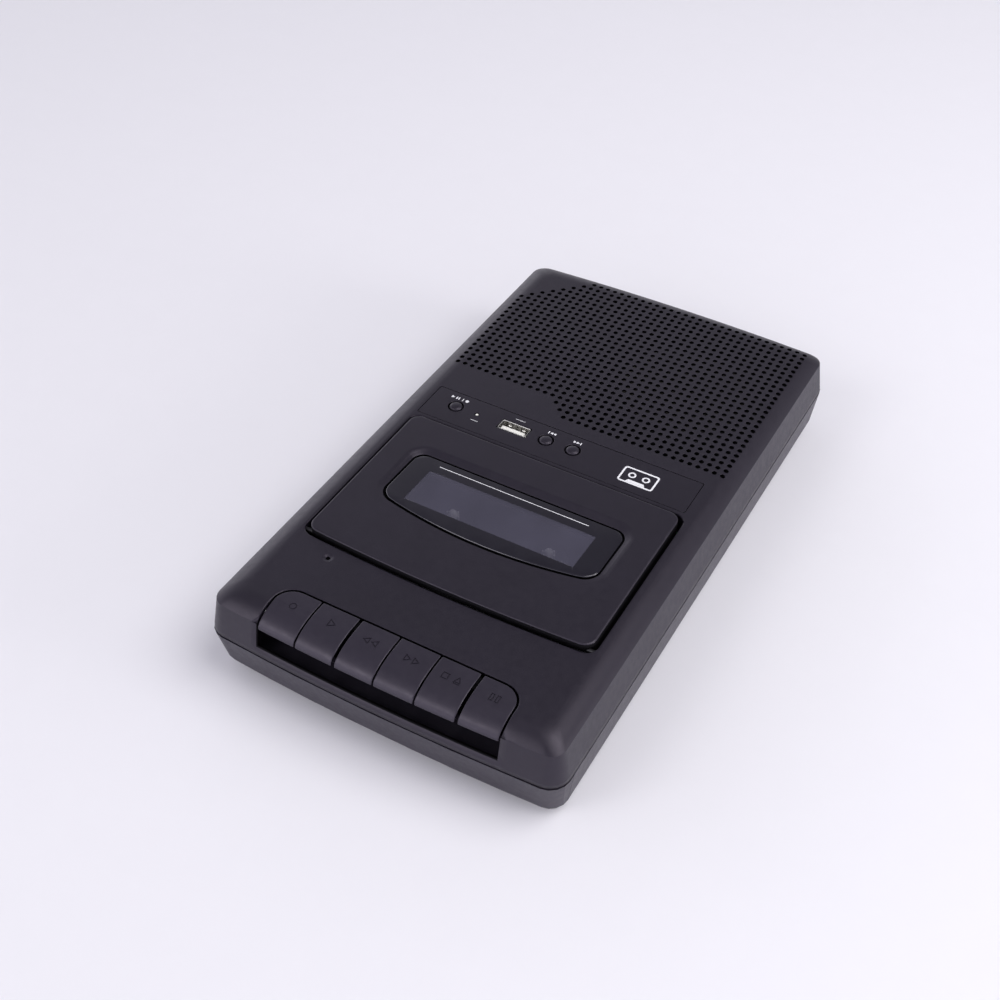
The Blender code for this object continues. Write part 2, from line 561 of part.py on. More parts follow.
# ---- transport --------------------------------------------------------------------------------------
def build_chassis():
    chassis = box(-57.0 * MM, 57.0 * MM, -101.0 * MM, -6.0 * MM, CHASSIS_Z, CHASSIS_TOP_Z)
    for side in (-1, 1):
        x0, x1 = sorted((side * 50.9 * MM, side * 52.5 * MM))
        join(chassis, box(x0, x1, -101.0 * MM, -93.0 * MM, CHASSIS_Z + 0.5 * MM, 34.4 * MM))
    join(chassis, rod(1.2 * MM, PINCH_PIVOT_X, PINCH_PIVOT_Y, CHASSIS_Z + 0.5 * MM, 29.4 * MM, 12))
    cut(chassis, cross_rod(KEY_SHAFT_RADIUS + GAP, -60.0 * MM, 60.0 * MM, KEY_AXIS_Y, KEY_AXIS_Z, 12))
    for x, y, radius in ((-HUB_X, HUB_Y, 3.4 * MM), (HUB_X, HUB_Y, 3.4 * MM),
                         (CAPSTAN_X, CAPSTAN_Y, 1.4 * MM), (IDLER_X, IDLER_Y, 1.4 * MM)):
        cut(chassis, rod(radius, x, y, 20.0 * MM, 30.0 * MM, 14))
    return finish(chassis, "transport_chassis", INNER_PLASTIC)


def build_spindles():
    profile = [(0.0, 33.7), (1.6, 33.7), (2.9, 32.2), (2.9, 26.9), (8.5, 26.9), (8.5, 25.7), (3.0, 25.7),
               (3.0, 22.5), (10.0, 22.5), (10.0, 19.5), (0.0, 19.5)]
    finish(turned(in_metres(profile), -HUB_X, HUB_Y, 24), "supply_spindle", INNER_PLASTIC)
    finish(turned(in_metres(profile), HUB_X, HUB_Y, 24), "takeup_spindle", INNER_PLASTIC)


def build_drive():
    profile = [(0.0, 36.2), (1.0, 36.2), (1.0, 22.3), (3.0, 22.3), (3.0, 19.5), (1.2, 19.5), (1.2, 12.5),
               (5.0, 12.5), (5.0, 11.0), (26.0, 11.0), (26.0, 6.5), (0.0, 6.5)]
    finish(turned(in_metres(profile), CAPSTAN_X, CAPSTAN_Y, 40), "flywheel", STEEL)
    profile = [(0.0, 26.0), (1.0, 26.0), (1.0, 22.2), (7.25, 22.2), (7.25, 19.8), (0.0, 19.8)]
    finish(turned(in_metres(profile), IDLER_X, IDLER_Y, 24), "takeup_idler", NATURAL_PLASTIC)
    finish(rod(MOTOR_RADIUS, MOTOR_X, MOTOR_Y, 11.5 * MM, 23.6 * MM, 24), "drive_motor", STEEL)
    profile = [(0.0, 11.2), (1.0, 11.2), (1.0, 10.8), (4.0, 10.8), (4.0, 6.6), (0.0, 6.6)]
    finish(turned(in_metres(profile), MOTOR_X, MOTOR_Y, 20), "motor_pulley", STEEL)
    belt = plate(belt_outline(1.3 * MM), 7.6 * MM, 9.9 * MM)
    cut(belt, plate(belt_outline(GAP), 0.0, 15.0 * MM))
    finish(belt, "drive_belt", RUBBER)


def belt_outline(margin):
    """Loop round the flywheel and the motor pulley, at a margin from both, with straight runs."""
    big, small = FLYWHEEL_RADIUS + margin, PULLEY_RADIUS + margin
    dx, dy = MOTOR_X - CAPSTAN_X, MOTOR_Y - CAPSTAN_Y
    heading = math.degrees(math.atan2(dy, dx))
    lean = math.degrees(math.acos((big - small) / math.hypot(dx, dy)))
    points = arc(CAPSTAN_X, CAPSTAN_Y, big, heading + lean, heading + 360 - lean, 24)
    points += arc(MOTOR_X, MOTOR_Y, small, heading - lean, heading + lean, 8)
    return points


def build_heads():
    finish(box(-20.0 * MM, 20.0 * MM, -92.0 * MM, -74.0 * MM, 25.7 * MM, 26.9 * MM), "head_plate", STEEL)
    head = box(-6.5 * MM, 6.5 * MM, -85.0 * MM, -75.5 * MM, HEAD_Z, 35.4 * MM)
    bevel = head.modifiers.new("rounded_face", "BEVEL")
    bevel.width = 2.0 * MM
    bevel.segments = 2
    bevel.limit_method = "VGROUP"
    group = head.vertex_groups.new(name="face_edges")
    group.add([v.index for v in head.data.vertices if v.co.y > 0], 1.0, "REPLACE")
    bevel.vertex_group = group.name
    finish(head, "record_play_head", STEEL)
    erase_head = box(-17.5 * MM, -12.0 * MM, -83.0 * MM, -76.0 * MM, HEAD_Z, 33.0 * MM)
    finish(erase_head, "erase_head", INNER_PLASTIC)

    reach = math.hypot(ROLLER_X - PINCH_PIVOT_X, ROLLER_Y - PINCH_PIVOT_Y)
    angle = math.atan2(ROLLER_Y - PINCH_PIVOT_Y, ROLLER_X - PINCH_PIVOT_X)
    outline = arc(0.0, 0.0, 3.0 * MM, 90, 270, 6) + arc(reach, 0.0, 3.0 * MM, -90, 90, 6)
    arm = plate(outline, HEAD_Z, HEAD_Z + 1.2 * MM)
    arm.rotation_euler = (0.0, 0.0, angle)
    arm.location = (PINCH_PIVOT_X, PINCH_PIVOT_Y, arm.location.z)
    cut(arm, rod(1.5 * MM, PINCH_PIVOT_X, PINCH_PIVOT_Y, 20.0 * MM, 40.0 * MM, 12))
    join(arm, rod(0.9 * MM, ROLLER_X, ROLLER_Y, 27.6 * MM, 35.3 * MM, 10))
    finish(arm, "pinch_arm", STEEL)
    low, high, bore = 28.9 * MM, 34.9 * MM, 1.2 * MM
    ring = [(ROLLER_RADIUS, high), (ROLLER_RADIUS, low), (bore, low), (bore, high)]
    finish(turned(ring, ROLLER_X, ROLLER_Y, 20, closed=True), "pinch_roller", RUBBER)


# ---- electronics ------------------------------------------------------------------------------------
def build_control_strip():
    strip = box(STRIP_LEFT, STRIP_RIGHT, STRIP_FRONT, STRIP_BACK, STRIP_UNDERSIDE_Z, TOP_Z)
    cut(strip, usb_hole(), *button_holes(), rod(LED_RADIUS + GAP, LED_X, CONTROL_Y, 30.0 * MM, 45.0 * MM, 10))
    finish(strip, "control_strip", CASE_PLASTIC)
    stem, flange = 1.2 * MM, 3.9 * MM
    profile = ((0.0, BUTTON_TOP_Z), (BUTTON_RADIUS - 0.5 * MM, BUTTON_TOP_Z), (BUTTON_RADIUS, 40.2 * MM),
               (BUTTON_RADIUS, 36.8 * MM), (flange, 36.8 * MM), (flange, 35.6 * MM), (stem, 35.6 * MM),
               (stem, 26.2 * MM), (0.0, 26.2 * MM))
    for name, x in BUTTONS:
        finish(turned(profile, x, CONTROL_Y, 16), name, KEY_PLASTIC)
    finish(rod(LED_RADIUS, LED_X, CONTROL_Y, USB_BOARD_TOP_Z + GAP, TOP_Z, 10), "status_led", WHITE_PLASTIC)
    board = box(-56.0 * MM, 14.0 * MM, 2.0 * MM, 18.0 * MM, USB_BOARD_TOP_Z - 1.4 * MM, USB_BOARD_TOP_Z)
    finish(board, "usb_circuit_board", BOARD)
    wall = 0.45 * MM
    x0, x1 = USB_X - USB_WIDTH / 2, USB_X + USB_WIDTH / 2
    y0, y1 = CONTROL_Y - USB_DEPTH / 2, CONTROL_Y + USB_DEPTH / 2
    shell = box(x0, x1, y0, y1, USB_BOARD_TOP_Z + GAP, 39.9 * MM)
    cut(shell, box(x0 + wall, x1 - wall, y0 + wall, y1 - wall, 27.0 * MM, 45.0 * MM))
    finish(shell, "usb_socket", STEEL)
    finish(box(USB_X - 5.3 * MM, USB_X + 5.3 * MM, y0 + 0.8 * MM, y0 + 2.6 * MM, 27.3 * MM, 38.6 * MM),
           "usb_contact_tongue", WHITE_PLASTIC)


def build_rear_electronics():
    finish(box(-2.0 * MM, 64.0 * MM, 8.0 * MM, 36.0 * MM, 12.0 * MM, 13.6 * MM), "main_circuit_board", BOARD)
    basket = [(33.0, 37.0), (33.0, 35.5), (30.0, 35.5), (16.5, 23.5), (16.5, 22.3), (10.0, 22.3),
              (10.0, 23.8), (14.8, 23.8), (28.3, 36.2), (29.0, 37.0)]
    finish(turned(in_metres(basket), SPEAKER_X, SPEAKER_Y, 28, closed=True), "speaker_basket", STEEL)
    cone = [(0.0, 28.6), (5.0, 28.0), (8.0, 26.4), (26.8, 37.0), (26.8, 36.0), (9.0, 25.2), (9.0, 24.4),
            (0.0, 24.4)]
    finish(turned(in_metres(cone), SPEAKER_X, SPEAKER_Y, 28), "speaker_cone", PAPER)
    finish(rod(16.0 * MM, SPEAKER_X, SPEAKER_Y, 14.0 * MM, 22.0 * MM, 24), "speaker_magnet", FERRITE)
    finish(rod(3.0 * MM, MICROPHONE_X, MICROPHONE_Y, 33.6 * MM, 37.2 * MM, 14), "microphone_capsule", STEEL)
    for word, y in (("front", BAY_FRONT + GAP), ("rear", BAY_BACK - GAP - 0.6 * MM)):
        finish(box(BAY_LEFT + GAP, BAY_RIGHT - GAP, y, y + 0.6 * MM, 5.0 * MM, 19.0 * MM),
               "battery_contact_" + word, STEEL)


def build_left_side():
    wheel = rod(WHEEL_RADIUS, WHEEL_X, WHEEL_Y, WHEEL_Z, WHEEL_TOP_Z, 32)
    cut(wheel, rod(1.3 * MM, WHEEL_X, WHEEL_Y, 20.0 * MM, 40.0 * MM, 10))
    finish(wheel, "volume_wheel", KEY_PLASTIC)
    profile = ((0.0, 31.0 * MM), (1.0 * MM, 31.0 * MM), (1.0 * MM, 27.2 * MM), (4.0 * MM, 27.2 * MM),
               (4.0 * MM, 22.0 * MM), (0.0, 22.0 * MM))
    finish(turned(profile, WHEEL_X, WHEEL_Y, 16), "volume_potentiometer", INNER_PLASTIC)
    for name, y, radius, bore in SIDE_JACKS:
        jack = cross_rod(radius, -72.2 * MM, -60.4 * MM, y, JACK_Z, 16)
        cut(jack, cross_rod(bore, -80.0 * MM, -62.4 * MM, y, JACK_Z, 12))
        if name == "dc_power_jack":
            join(jack, cross_rod(0.9 * MM, -71.0 * MM, -61.0 * MM, y, JACK_Z, 10))
        finish(jack, name, INNER_PLASTIC)


build_top_cover()
build_bottom_cover()
build_battery_door()
build_handle()
build_screws_and_feet()
build_cassette_door()
build_keys()
build_chassis()
build_spindles()
build_drive()
build_heads()
build_control_strip()
build_rear_electronics()
build_left_side()
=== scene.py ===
"""Looks for the portable cassette recorder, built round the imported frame.

X runs across the width, Y from the keys at the front (-Y) to the speaker at the back (+Y), Z is up.
Shapes are worked out in millimetres and turned into metres when a mesh is made.
"""

import json
import math

import bmesh
import bpy
from mathutils import Matrix, Vector
from mathutils.geometry import delaunay_2d_cdt
from mathutils.kdtree import KDTree

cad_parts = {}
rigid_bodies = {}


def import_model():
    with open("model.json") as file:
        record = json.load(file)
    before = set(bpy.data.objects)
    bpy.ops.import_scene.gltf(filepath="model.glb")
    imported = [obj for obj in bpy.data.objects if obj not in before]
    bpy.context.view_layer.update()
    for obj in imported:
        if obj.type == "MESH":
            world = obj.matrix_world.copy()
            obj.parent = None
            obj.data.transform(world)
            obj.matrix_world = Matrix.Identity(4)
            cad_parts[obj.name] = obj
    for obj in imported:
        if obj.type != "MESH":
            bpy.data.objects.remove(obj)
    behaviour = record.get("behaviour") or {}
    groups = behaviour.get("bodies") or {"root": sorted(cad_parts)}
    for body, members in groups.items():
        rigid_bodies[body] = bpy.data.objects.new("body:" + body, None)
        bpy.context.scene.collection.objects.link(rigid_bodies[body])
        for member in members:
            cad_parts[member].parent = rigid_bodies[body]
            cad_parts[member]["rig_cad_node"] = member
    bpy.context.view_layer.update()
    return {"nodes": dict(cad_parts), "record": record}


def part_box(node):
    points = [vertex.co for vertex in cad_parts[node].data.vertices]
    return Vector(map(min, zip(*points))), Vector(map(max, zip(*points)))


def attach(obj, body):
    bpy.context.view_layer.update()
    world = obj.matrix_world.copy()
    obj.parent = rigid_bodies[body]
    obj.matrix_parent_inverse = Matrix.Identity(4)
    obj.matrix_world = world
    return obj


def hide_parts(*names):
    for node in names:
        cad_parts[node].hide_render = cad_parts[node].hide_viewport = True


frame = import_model()
MM = 0.001

# ---- the case, in millimetres -------------------------------------------------------------------------
CREASE_HALF, CREASE_END, END_BOW, CORNER_RADIUS = 71.2, 125.55, 2.4, 5.4
WALL_DRAFT, TOP_Z, CREASE_Z, PARTING_Z = 2.5, 40.0, 36.0, 21.5
SLOPE_WIDTH = 9.6
OPENING_HALF, OPENING_BACK, OPENING_FRONT, OPENING_BOW = 61.6, -2.05, -82.6, 2.1
DOOR_GAP, DOOR_TOP_Z = 1.6, 41.6
SLOT_HALF, SLOT_BACK, SLOT_RADIUS, SLOT_BOTTOM_Z = 49.9, -108.3, 8.0, 25.5
STRIP_LEFT, STRIP_RIGHT, STRIP_FRONT, STRIP_BACK = -61.0, 59.6, -0.15, 18.85
CONTROL_Y = 10.5
BUTTON_X = {"play_record_button": -48.9, "previous_button": -6.5, "next_button": 5.7}
USB_X, LED_X = -21.2, -38.8
GRILLE_PITCH, GRILLE_FIRST_Y, GRILLE_RADIUS = 3.56, 27.05, 1.03
LENS_HALF, LENS_BACK, LENS_FRONT, LENS_BOW = 46.0, -22.5, -51.0, 6.0
WINDOW_HALF, WINDOW_BACK, WINDOW_FRONT = 36.6, -30.2, -49.4
KEY_PITCH = 16.55
KEY_GAPS = (0.9, 0.65, 1.3, 0.65, 0.65, 1.3, 0.9)      # beside the keys, wider after the 2nd and the 5th
KEY_NAMES = ("record_key", "play_key", "rewind_key", "fast_forward_key", "stop_eject_key", "pause_key")
MICROPHONE = (-44.4, -89.5)
SHELL_SKIN, PANEL_SKIN, DOOR_SIDE_SKIN, STRIP_SKIN, KEY_SKIN = 1.6, 1.8, 1.2, 1.1, 2.0
LENS_SKIN, PANE_SKIN, PRINT_SKIN, HAIRLINE_SKIN = 0.9, 0.8, 0.03, 0.05


# ---- materials ----------------------------------------------------------------------------------------
def link(tree, a, a_name, b, b_name):
    tree.links.new(a.outputs[a_name], b.inputs[b_name])


def noise(tree, scale, detail=2.0, roughness=0.5):
    node = tree.nodes.new("ShaderNodeTexNoise")
    node.inputs["Scale"].default_value = scale
    node.inputs["Detail"].default_value = detail
    node.inputs["Roughness"].default_value = roughness
    return node


def ramp(tree, stops):
    node = tree.nodes.new("ShaderNodeValToRGB")
    elements = node.color_ramp.elements
    while len(elements) < len(stops):
        elements.new(0.5)
    for element, (position, colour) in zip(elements, stops):
        element.position = position
        element.color = (*colour, 1.0)
    return node


def surface(name, colour, roughness, metallic=0.0, grain=0.0, grain_scale=9000.0, mottle=0.12,
            rough_spread=0.08, brushed=None, coat=0.0, alpha=1.0, tint_to=(1.0, 1.0, 1.0),
            specular=0.5):
    """Principled material with moulded grain as bump, faint colour mottling and uneven roughness."""
    material = bpy.data.materials.new(name)
    material.use_nodes = True
    tree = material.node_tree
    shader = tree.nodes["Principled BSDF"]
    shader.inputs["Metallic"].default_value = metallic
    shader.inputs["Coat Weight"].default_value = coat
    shader.inputs["Coat Roughness"].default_value = 0.08
    shader.inputs["Alpha"].default_value = alpha
    shader.inputs["Specular Tint"].default_value = (*tint_to, 1.0)
    shader.inputs["Specular IOR Level"].default_value = specular
    place = tree.nodes.new("ShaderNodeTexCoord")
    broad = noise(tree, 55.0, 4.0, 0.6)
    link(tree, place, "Object", broad, "Vector")
    light = tuple(min(1.0, c * (1 + mottle)) for c in colour)
    dark = tuple(c * (1 - mottle) for c in colour)
    tint = ramp(tree, ((0.3, dark), (0.7, light)))
    link(tree, broad, "Fac", tint, "Fac")
    link(tree, tint, "Color", shader, "Base Color")
    fine = noise(tree, 420.0, 3.0, 0.55)
    if brushed:
        mapping = tree.nodes.new("ShaderNodeMapping")
        mapping.inputs["Scale"].default_value = brushed
        link(tree, place, "Object", mapping, "Vector")
        link(tree, mapping, "Vector", fine, "Vector")
    else:
        link(tree, place, "Object", fine, "Vector")
    gloss = ramp(tree, ((0.25, (roughness - rough_spread,) * 3), (0.75, (roughness + rough_spread,) * 3)))
    link(tree, fine, "Fac", gloss, "Fac")
    link(tree, gloss, "Color", shader, "Roughness")
    if grain > 0:
        grit = noise(tree, grain_scale, 2.0, 0.6)
        link(tree, place, "Object", grit, "Vector")
        bump = tree.nodes.new("ShaderNodeBump")
        bump.inputs["Strength"].default_value = grain
        bump.inputs["Distance"].default_value = 0.00005
        link(tree, grit, "Fac", bump, "Height")
        link(tree, bump, "Normal", shader, "Normal")
    return material


PURPLISH = (0.92, 0.84, 1.0)

LOOK_SETTINGS = {
    "case_plastic": dict(colour=(0.0090, 0.0075, 0.0130), roughness=0.42, grain=0.55, grain_scale=2600.0,
        mottle=0.10, rough_spread=0.05, tint_to=PURPLISH),
    "lower_plastic": dict(colour=(0.0190, 0.0165, 0.0245), roughness=0.42, grain=0.55, grain_scale=2600.0,
        mottle=0.10, rough_spread=0.05, tint_to=PURPLISH),
    "strip_plastic": dict(colour=(0.0085, 0.0070, 0.0122), roughness=0.40, grain=0.35, grain_scale=3200.0,
        mottle=0.06, rough_spread=0.04, tint_to=PURPLISH),
    "key_plastic": dict(colour=(0.0190, 0.0165, 0.0250), roughness=0.38, grain=0.35, grain_scale=3200.0,
        mottle=0.08, rough_spread=0.06, tint_to=PURPLISH),
    # painted shade: near-black look for rims, inner faces, the door's side wall, the door's inner frame and
    # the key arms, standing in for the shade in the gaps
    "painted_gap_shade": dict(colour=(0.0030, 0.0026, 0.0040), roughness=0.65, grain=0.3, mottle=0.1,
        specular=0.12),
    "gloss_black": dict(colour=(0.0070, 0.0060, 0.0110), roughness=0.15, mottle=0.10, rough_spread=0.05,
        grain=0.05, grain_scale=900.0, coat=0.6, tint_to=(0.92, 0.88, 1.0)),
    "window_pane": dict(colour=(0.088, 0.084, 0.122), roughness=0.16, mottle=0.10, rough_spread=0.05,
        alpha=0.50),
    "inner_plastic": dict(colour=(0.115, 0.108, 0.135), roughness=0.50, grain=0.4, grain_scale=2200.0,
        mottle=0.10, rough_spread=0.08),
    "dark_steel": dict(colour=(0.045, 0.044, 0.050), roughness=0.42, metallic=0.8, grain=0.3,
        grain_scale=1500.0, mottle=0.10),
    "steel": dict(colour=(0.60, 0.60, 0.61), roughness=0.30, metallic=1.0, grain=0.25, grain_scale=1500.0,
        mottle=0.10, rough_spread=0.10, brushed=(1.0, 14.0, 1.0)),
    "usb_steel": dict(colour=(0.78, 0.77, 0.75), roughness=0.24, metallic=1.0, grain=0.15,
        grain_scale=1500.0, mottle=0.06, rough_spread=0.06, brushed=(9.0, 1.0, 1.0)),
    "rubber": dict(colour=(0.018, 0.018, 0.020), roughness=0.80, grain=0.8, grain_scale=1800.0,
        mottle=0.18),
    "circuit_board": dict(colour=(0.030, 0.160, 0.060), roughness=0.42, grain=0.5, grain_scale=700.0,
        mottle=0.30),
    "speaker_paper": dict(colour=(0.045, 0.040, 0.036), roughness=0.90, grain=0.9, grain_scale=900.0,
        mottle=0.30),
    "ferrite": dict(colour=(0.055, 0.055, 0.060), roughness=0.62, grain=0.6, grain_scale=900.0,
        mottle=0.20),
    "white_plastic": dict(colour=(0.80, 0.79, 0.75), roughness=0.38, grain=0.15, mottle=0.04),
    "natural_plastic": dict(colour=(0.50, 0.49, 0.46), roughness=0.42, grain=0.2, mottle=0.05),
    "spindle_plastic": dict(colour=(0.850, 0.830, 0.900), roughness=0.16, grain=0.10, mottle=0.06,
        coat=1.0),
    "icon_white": dict(colour=(0.80, 0.80, 0.84), roughness=0.50, grain=0.2, mottle=0.05),
}
LOOKS = {name: surface(name, **settings) for name, settings in LOOK_SETTINGS.items()}


# ---- mesh helpers -------------------------------------------------------------------------------------
def add_piece(name, mesh, look, body, stands_for=(), sharp=32.0):
    obj = bpy.data.objects.new(name, mesh)
    bpy.context.scene.collection.objects.link(obj)
    mesh.name = name
    mesh.materials.clear()
    mesh.materials.append(LOOKS[look])
    mesh.shade_smooth()
    mesh.set_sharp_from_angle(angle=math.radians(sharp))
    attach(obj, body)
    if stands_for:
        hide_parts(*stands_for)
    return obj


def mesh_from(verts, faces, scale=MM):
    mesh = bpy.data.meshes.new("mesh")
    mesh.from_pydata([(x * scale, y * scale, z * scale) for x, y, z in verts], [], faces)
    mesh.validate()
    return mesh


def weld(mesh, distance=0.00003):
    shape = bmesh.new()
    shape.from_mesh(mesh)
    bmesh.ops.remove_doubles(shape, verts=shape.verts, dist=distance)
    bmesh.ops.recalc_face_normals(shape, faces=shape.faces)
    shape.to_mesh(mesh)
    shape.free()
    return mesh


def thicken(obj, thickness, inner_look=None):
    """Gives a skin its thickness inwards; its edges and its inside may have a look of their own."""
    modifier = obj.modifiers.new("thickness", "SOLIDIFY")
    modifier.thickness = thickness * MM
    modifier.offset = -1.0
    if inner_look:
        obj.data.materials.append(LOOKS[inner_look])
        modifier.material_offset = modifier.material_offset_rim = 1
    return obj


def lathe(profile, x, y, steps=32):
    """Closed turned shape from (radius, height) points, listed from the top of the axis to its bottom."""
    verts, faces = [], []
    for r, z in profile:
        ring = [(x, y, z)] if r == 0 else [
            (x + r * math.cos(2 * math.pi * i / steps), y + r * math.sin(2 * math.pi * i / steps), z)
            for i in range(steps)]
        verts.append(ring)
    flat, starts = [], []
    for ring in verts:
        starts.append(len(flat))
        flat += ring
    for a, b in zip(range(len(verts) - 1), range(1, len(verts))):
        for i in range(steps):
            j = (i + 1) % steps
            if len(verts[a]) == 1:
                faces.append([starts[a], starts[b] + i, starts[b] + j])
            elif len(verts[b]) == 1:
                faces.append([starts[a] + j, starts[a] + i, starts[b]])
            else:
                faces.append([starts[a] + i, starts[b] + i, starts[b] + j, starts[a] + j])
    return weld(mesh_from(flat, faces), 0.0000001)


def prism(outlines, z0, z1):
    """Upright walls and caps over one or more separate flat outlines."""
    verts, faces = [], []
    for outline in outlines:
        start, count = len(verts), len(outline)
        verts += [(x, y, z0) for x, y in outline] + [(x, y, z1) for x, y in outline]
        faces.append([start + i for i in reversed(range(count))])
        faces.append([start + count + i for i in range(count)])
        faces += [[start + i, start + (i + 1) % count, start + count + (i + 1) % count, start + count + i]
                  for i in range(count)]
    return weld(mesh_from(verts, faces), 0.0000001)


def joined(meshes):
    """One mesh holding several."""
    shape = bmesh.new()
    for mesh in meshes:
        shape.from_mesh(mesh)
    whole = bpy.data.meshes.new("joined")
    shape.to_mesh(whole)
    shape.free()
    return whole


def carved(mesh, cutter, operation="DIFFERENCE"):
    """The mesh after a Boolean with another."""
    pair = [bpy.data.objects.new("work", m) for m in (mesh, cutter)]
    for obj in pair:
        bpy.context.scene.collection.objects.link(obj)
    modifier = pair[0].modifiers.new("cut", "BOOLEAN")
    modifier.operation, modifier.solver, modifier.object = operation, "EXACT", pair[1]
    bpy.context.view_layer.update()
    result = bpy.data.meshes.new_from_object(pair[0].evaluated_get(bpy.context.evaluated_depsgraph_get()))
    for obj in pair:
        bpy.data.objects.remove(obj)
    return result


def band(count, levels=2, start=0):
    """Quads between rings of points that are listed one ring after the other."""
    return [[start + level * count + i, start + (level + 1) * count + i,
             start + (level + 1) * count + (i + 1) % count, start + level * count + (i + 1) % count]
            for level in range(levels - 1) for i in range(count)]


def middle(node):
    """Middle of a CAD node's box, in millimetres."""
    low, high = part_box(node)
    return (low.x + high.x) / 2 / MM, (low.y + high.y) / 2 / MM, (low.z + high.z) / 2 / MM


def box_mesh(x0, x1, y0, y1, z0, z1):
    return prism([[(x0, y0), (x1, y0), (x1, y1), (x0, y1)]], z0, z1)


def solid_of(node):
    """Clean copy of a CAD node's mesh: welded, with its flat areas as single faces."""
    mesh = frame["nodes"][node].data.copy()
    shape = bmesh.new()
    shape.from_mesh(mesh)
    bmesh.ops.remove_doubles(shape, verts=shape.verts, dist=0.000004)
    bmesh.ops.dissolve_limit(shape, angle_limit=math.radians(1.0), verts=shape.verts, edges=shape.edges)
    bmesh.ops.recalc_face_normals(shape, faces=shape.faces)
    shape.to_mesh(mesh)
    shape.free()
    return mesh


def rounded(obj, width, segments=2, angle=38):
    """Rounds the sharp edges of a piece."""
    modifier = obj.modifiers.new("rounded_edges", "BEVEL")
    modifier.width = width * MM
    modifier.segments = segments
    modifier.limit_method = "ANGLE"
    modifier.angle_limit = math.radians(angle)
    modifier.use_clamp_overlap = True
    return obj


def refine(name, node, look, body, width=0.2):
    """A CAD node's own shape with its edges rounded, standing for that node."""
    return rounded(add_piece(name, solid_of(node), look, body, (node,)), width)


def arc(cx, cy, radius, start, end, steps):
    return [(cx + radius * math.cos(math.radians(start + (end - start) * i / steps)),
             cy + radius * math.sin(math.radians(start + (end - start) * i / steps)))
            for i in range(steps + 1)]


def rounded_outline(half, front, back, radius, front_bow=0.0, back_bow=0.0, corner_steps=6, bow_steps=16):
    """Rounded rectangle, anticlockwise, whose front and back sides bulge outwards."""
    points = arc(half - radius, back - radius, radius, 0, 90, corner_steps)
    points += [((half - radius) * (1 - 2 * i / bow_steps), back) for i in range(1, bow_steps)]
    points += arc(-half + radius, back - radius, radius, 90, 180, corner_steps)
    points += arc(-half + radius, front + radius, radius, 180, 270, corner_steps)
    points += [((half - radius) * (2 * i / bow_steps - 1), front) for i in range(1, bow_steps)]
    points += arc(half - radius, front + radius, radius, 270, 360, corner_steps)
    bowed = []
    for x, y in points:
        bulge = 1 - (x / half) ** 2
        if y > back - radius:
            y += back_bow * bulge
        elif y < front + radius:
            y -= front_bow * bulge
        bowed.append((x, y))
    return bowed


def crease_ring(inset, radius=CORNER_RADIUS, steps=16):
    return rounded_outline(CREASE_HALF - inset, -CREASE_END + inset, CREASE_END - inset, radius, END_BOW,
                           END_BOW, 6, steps)


def circle(x, y, radius, steps):
    return [(x + radius * math.cos(2 * math.pi * i / steps), y + radius * math.sin(2 * math.pi * i / steps))
            for i in range(steps)]


def inside(polygon, x, y):
    hit = False
    for (x0, y0), (x1, y1) in zip(polygon, polygon[1:] + polygon[:1]):
        if (y0 > y) != (y1 > y) and x < (x1 - x0) * (y - y0) / (y1 - y0) + x0:
            hit = not hit
    return hit


def offset(polygon, distance):
    """Anticlockwise outline moved outwards by a small distance."""
    moved = []
    count = len(polygon)
    for i in range(count):
        a, b, c = Vector(polygon[i - 1]), Vector(polygon[i]), Vector(polygon[(i + 1) % count])
        first, second = (b - a).normalized(), (c - b).normalized()
        n1, n2 = Vector((first.y, -first.x)), Vector((second.y, -second.x))
        bisector = (n1 + n2).normalized()
        moved.append(tuple(b + bisector * distance / max(0.5, bisector.dot(n1))))
    return moved


SKIRT_BOTTOM_Z = 31.0
LEFT_TOP_Z, LEFT_BOTTOM_Z = 34.0, 23.5        # part of the left wall that has the openings
PARTING_GAP = 0.40                            # gap between the two halves of the case, made to read as a dark line by the painted gap shade of the rims behind it
LIP = ((0.0, 0.45), (0.18, 0.17), (0.42, 0.04), (0.70, 0.0))     # rounded edge: distance out, drop


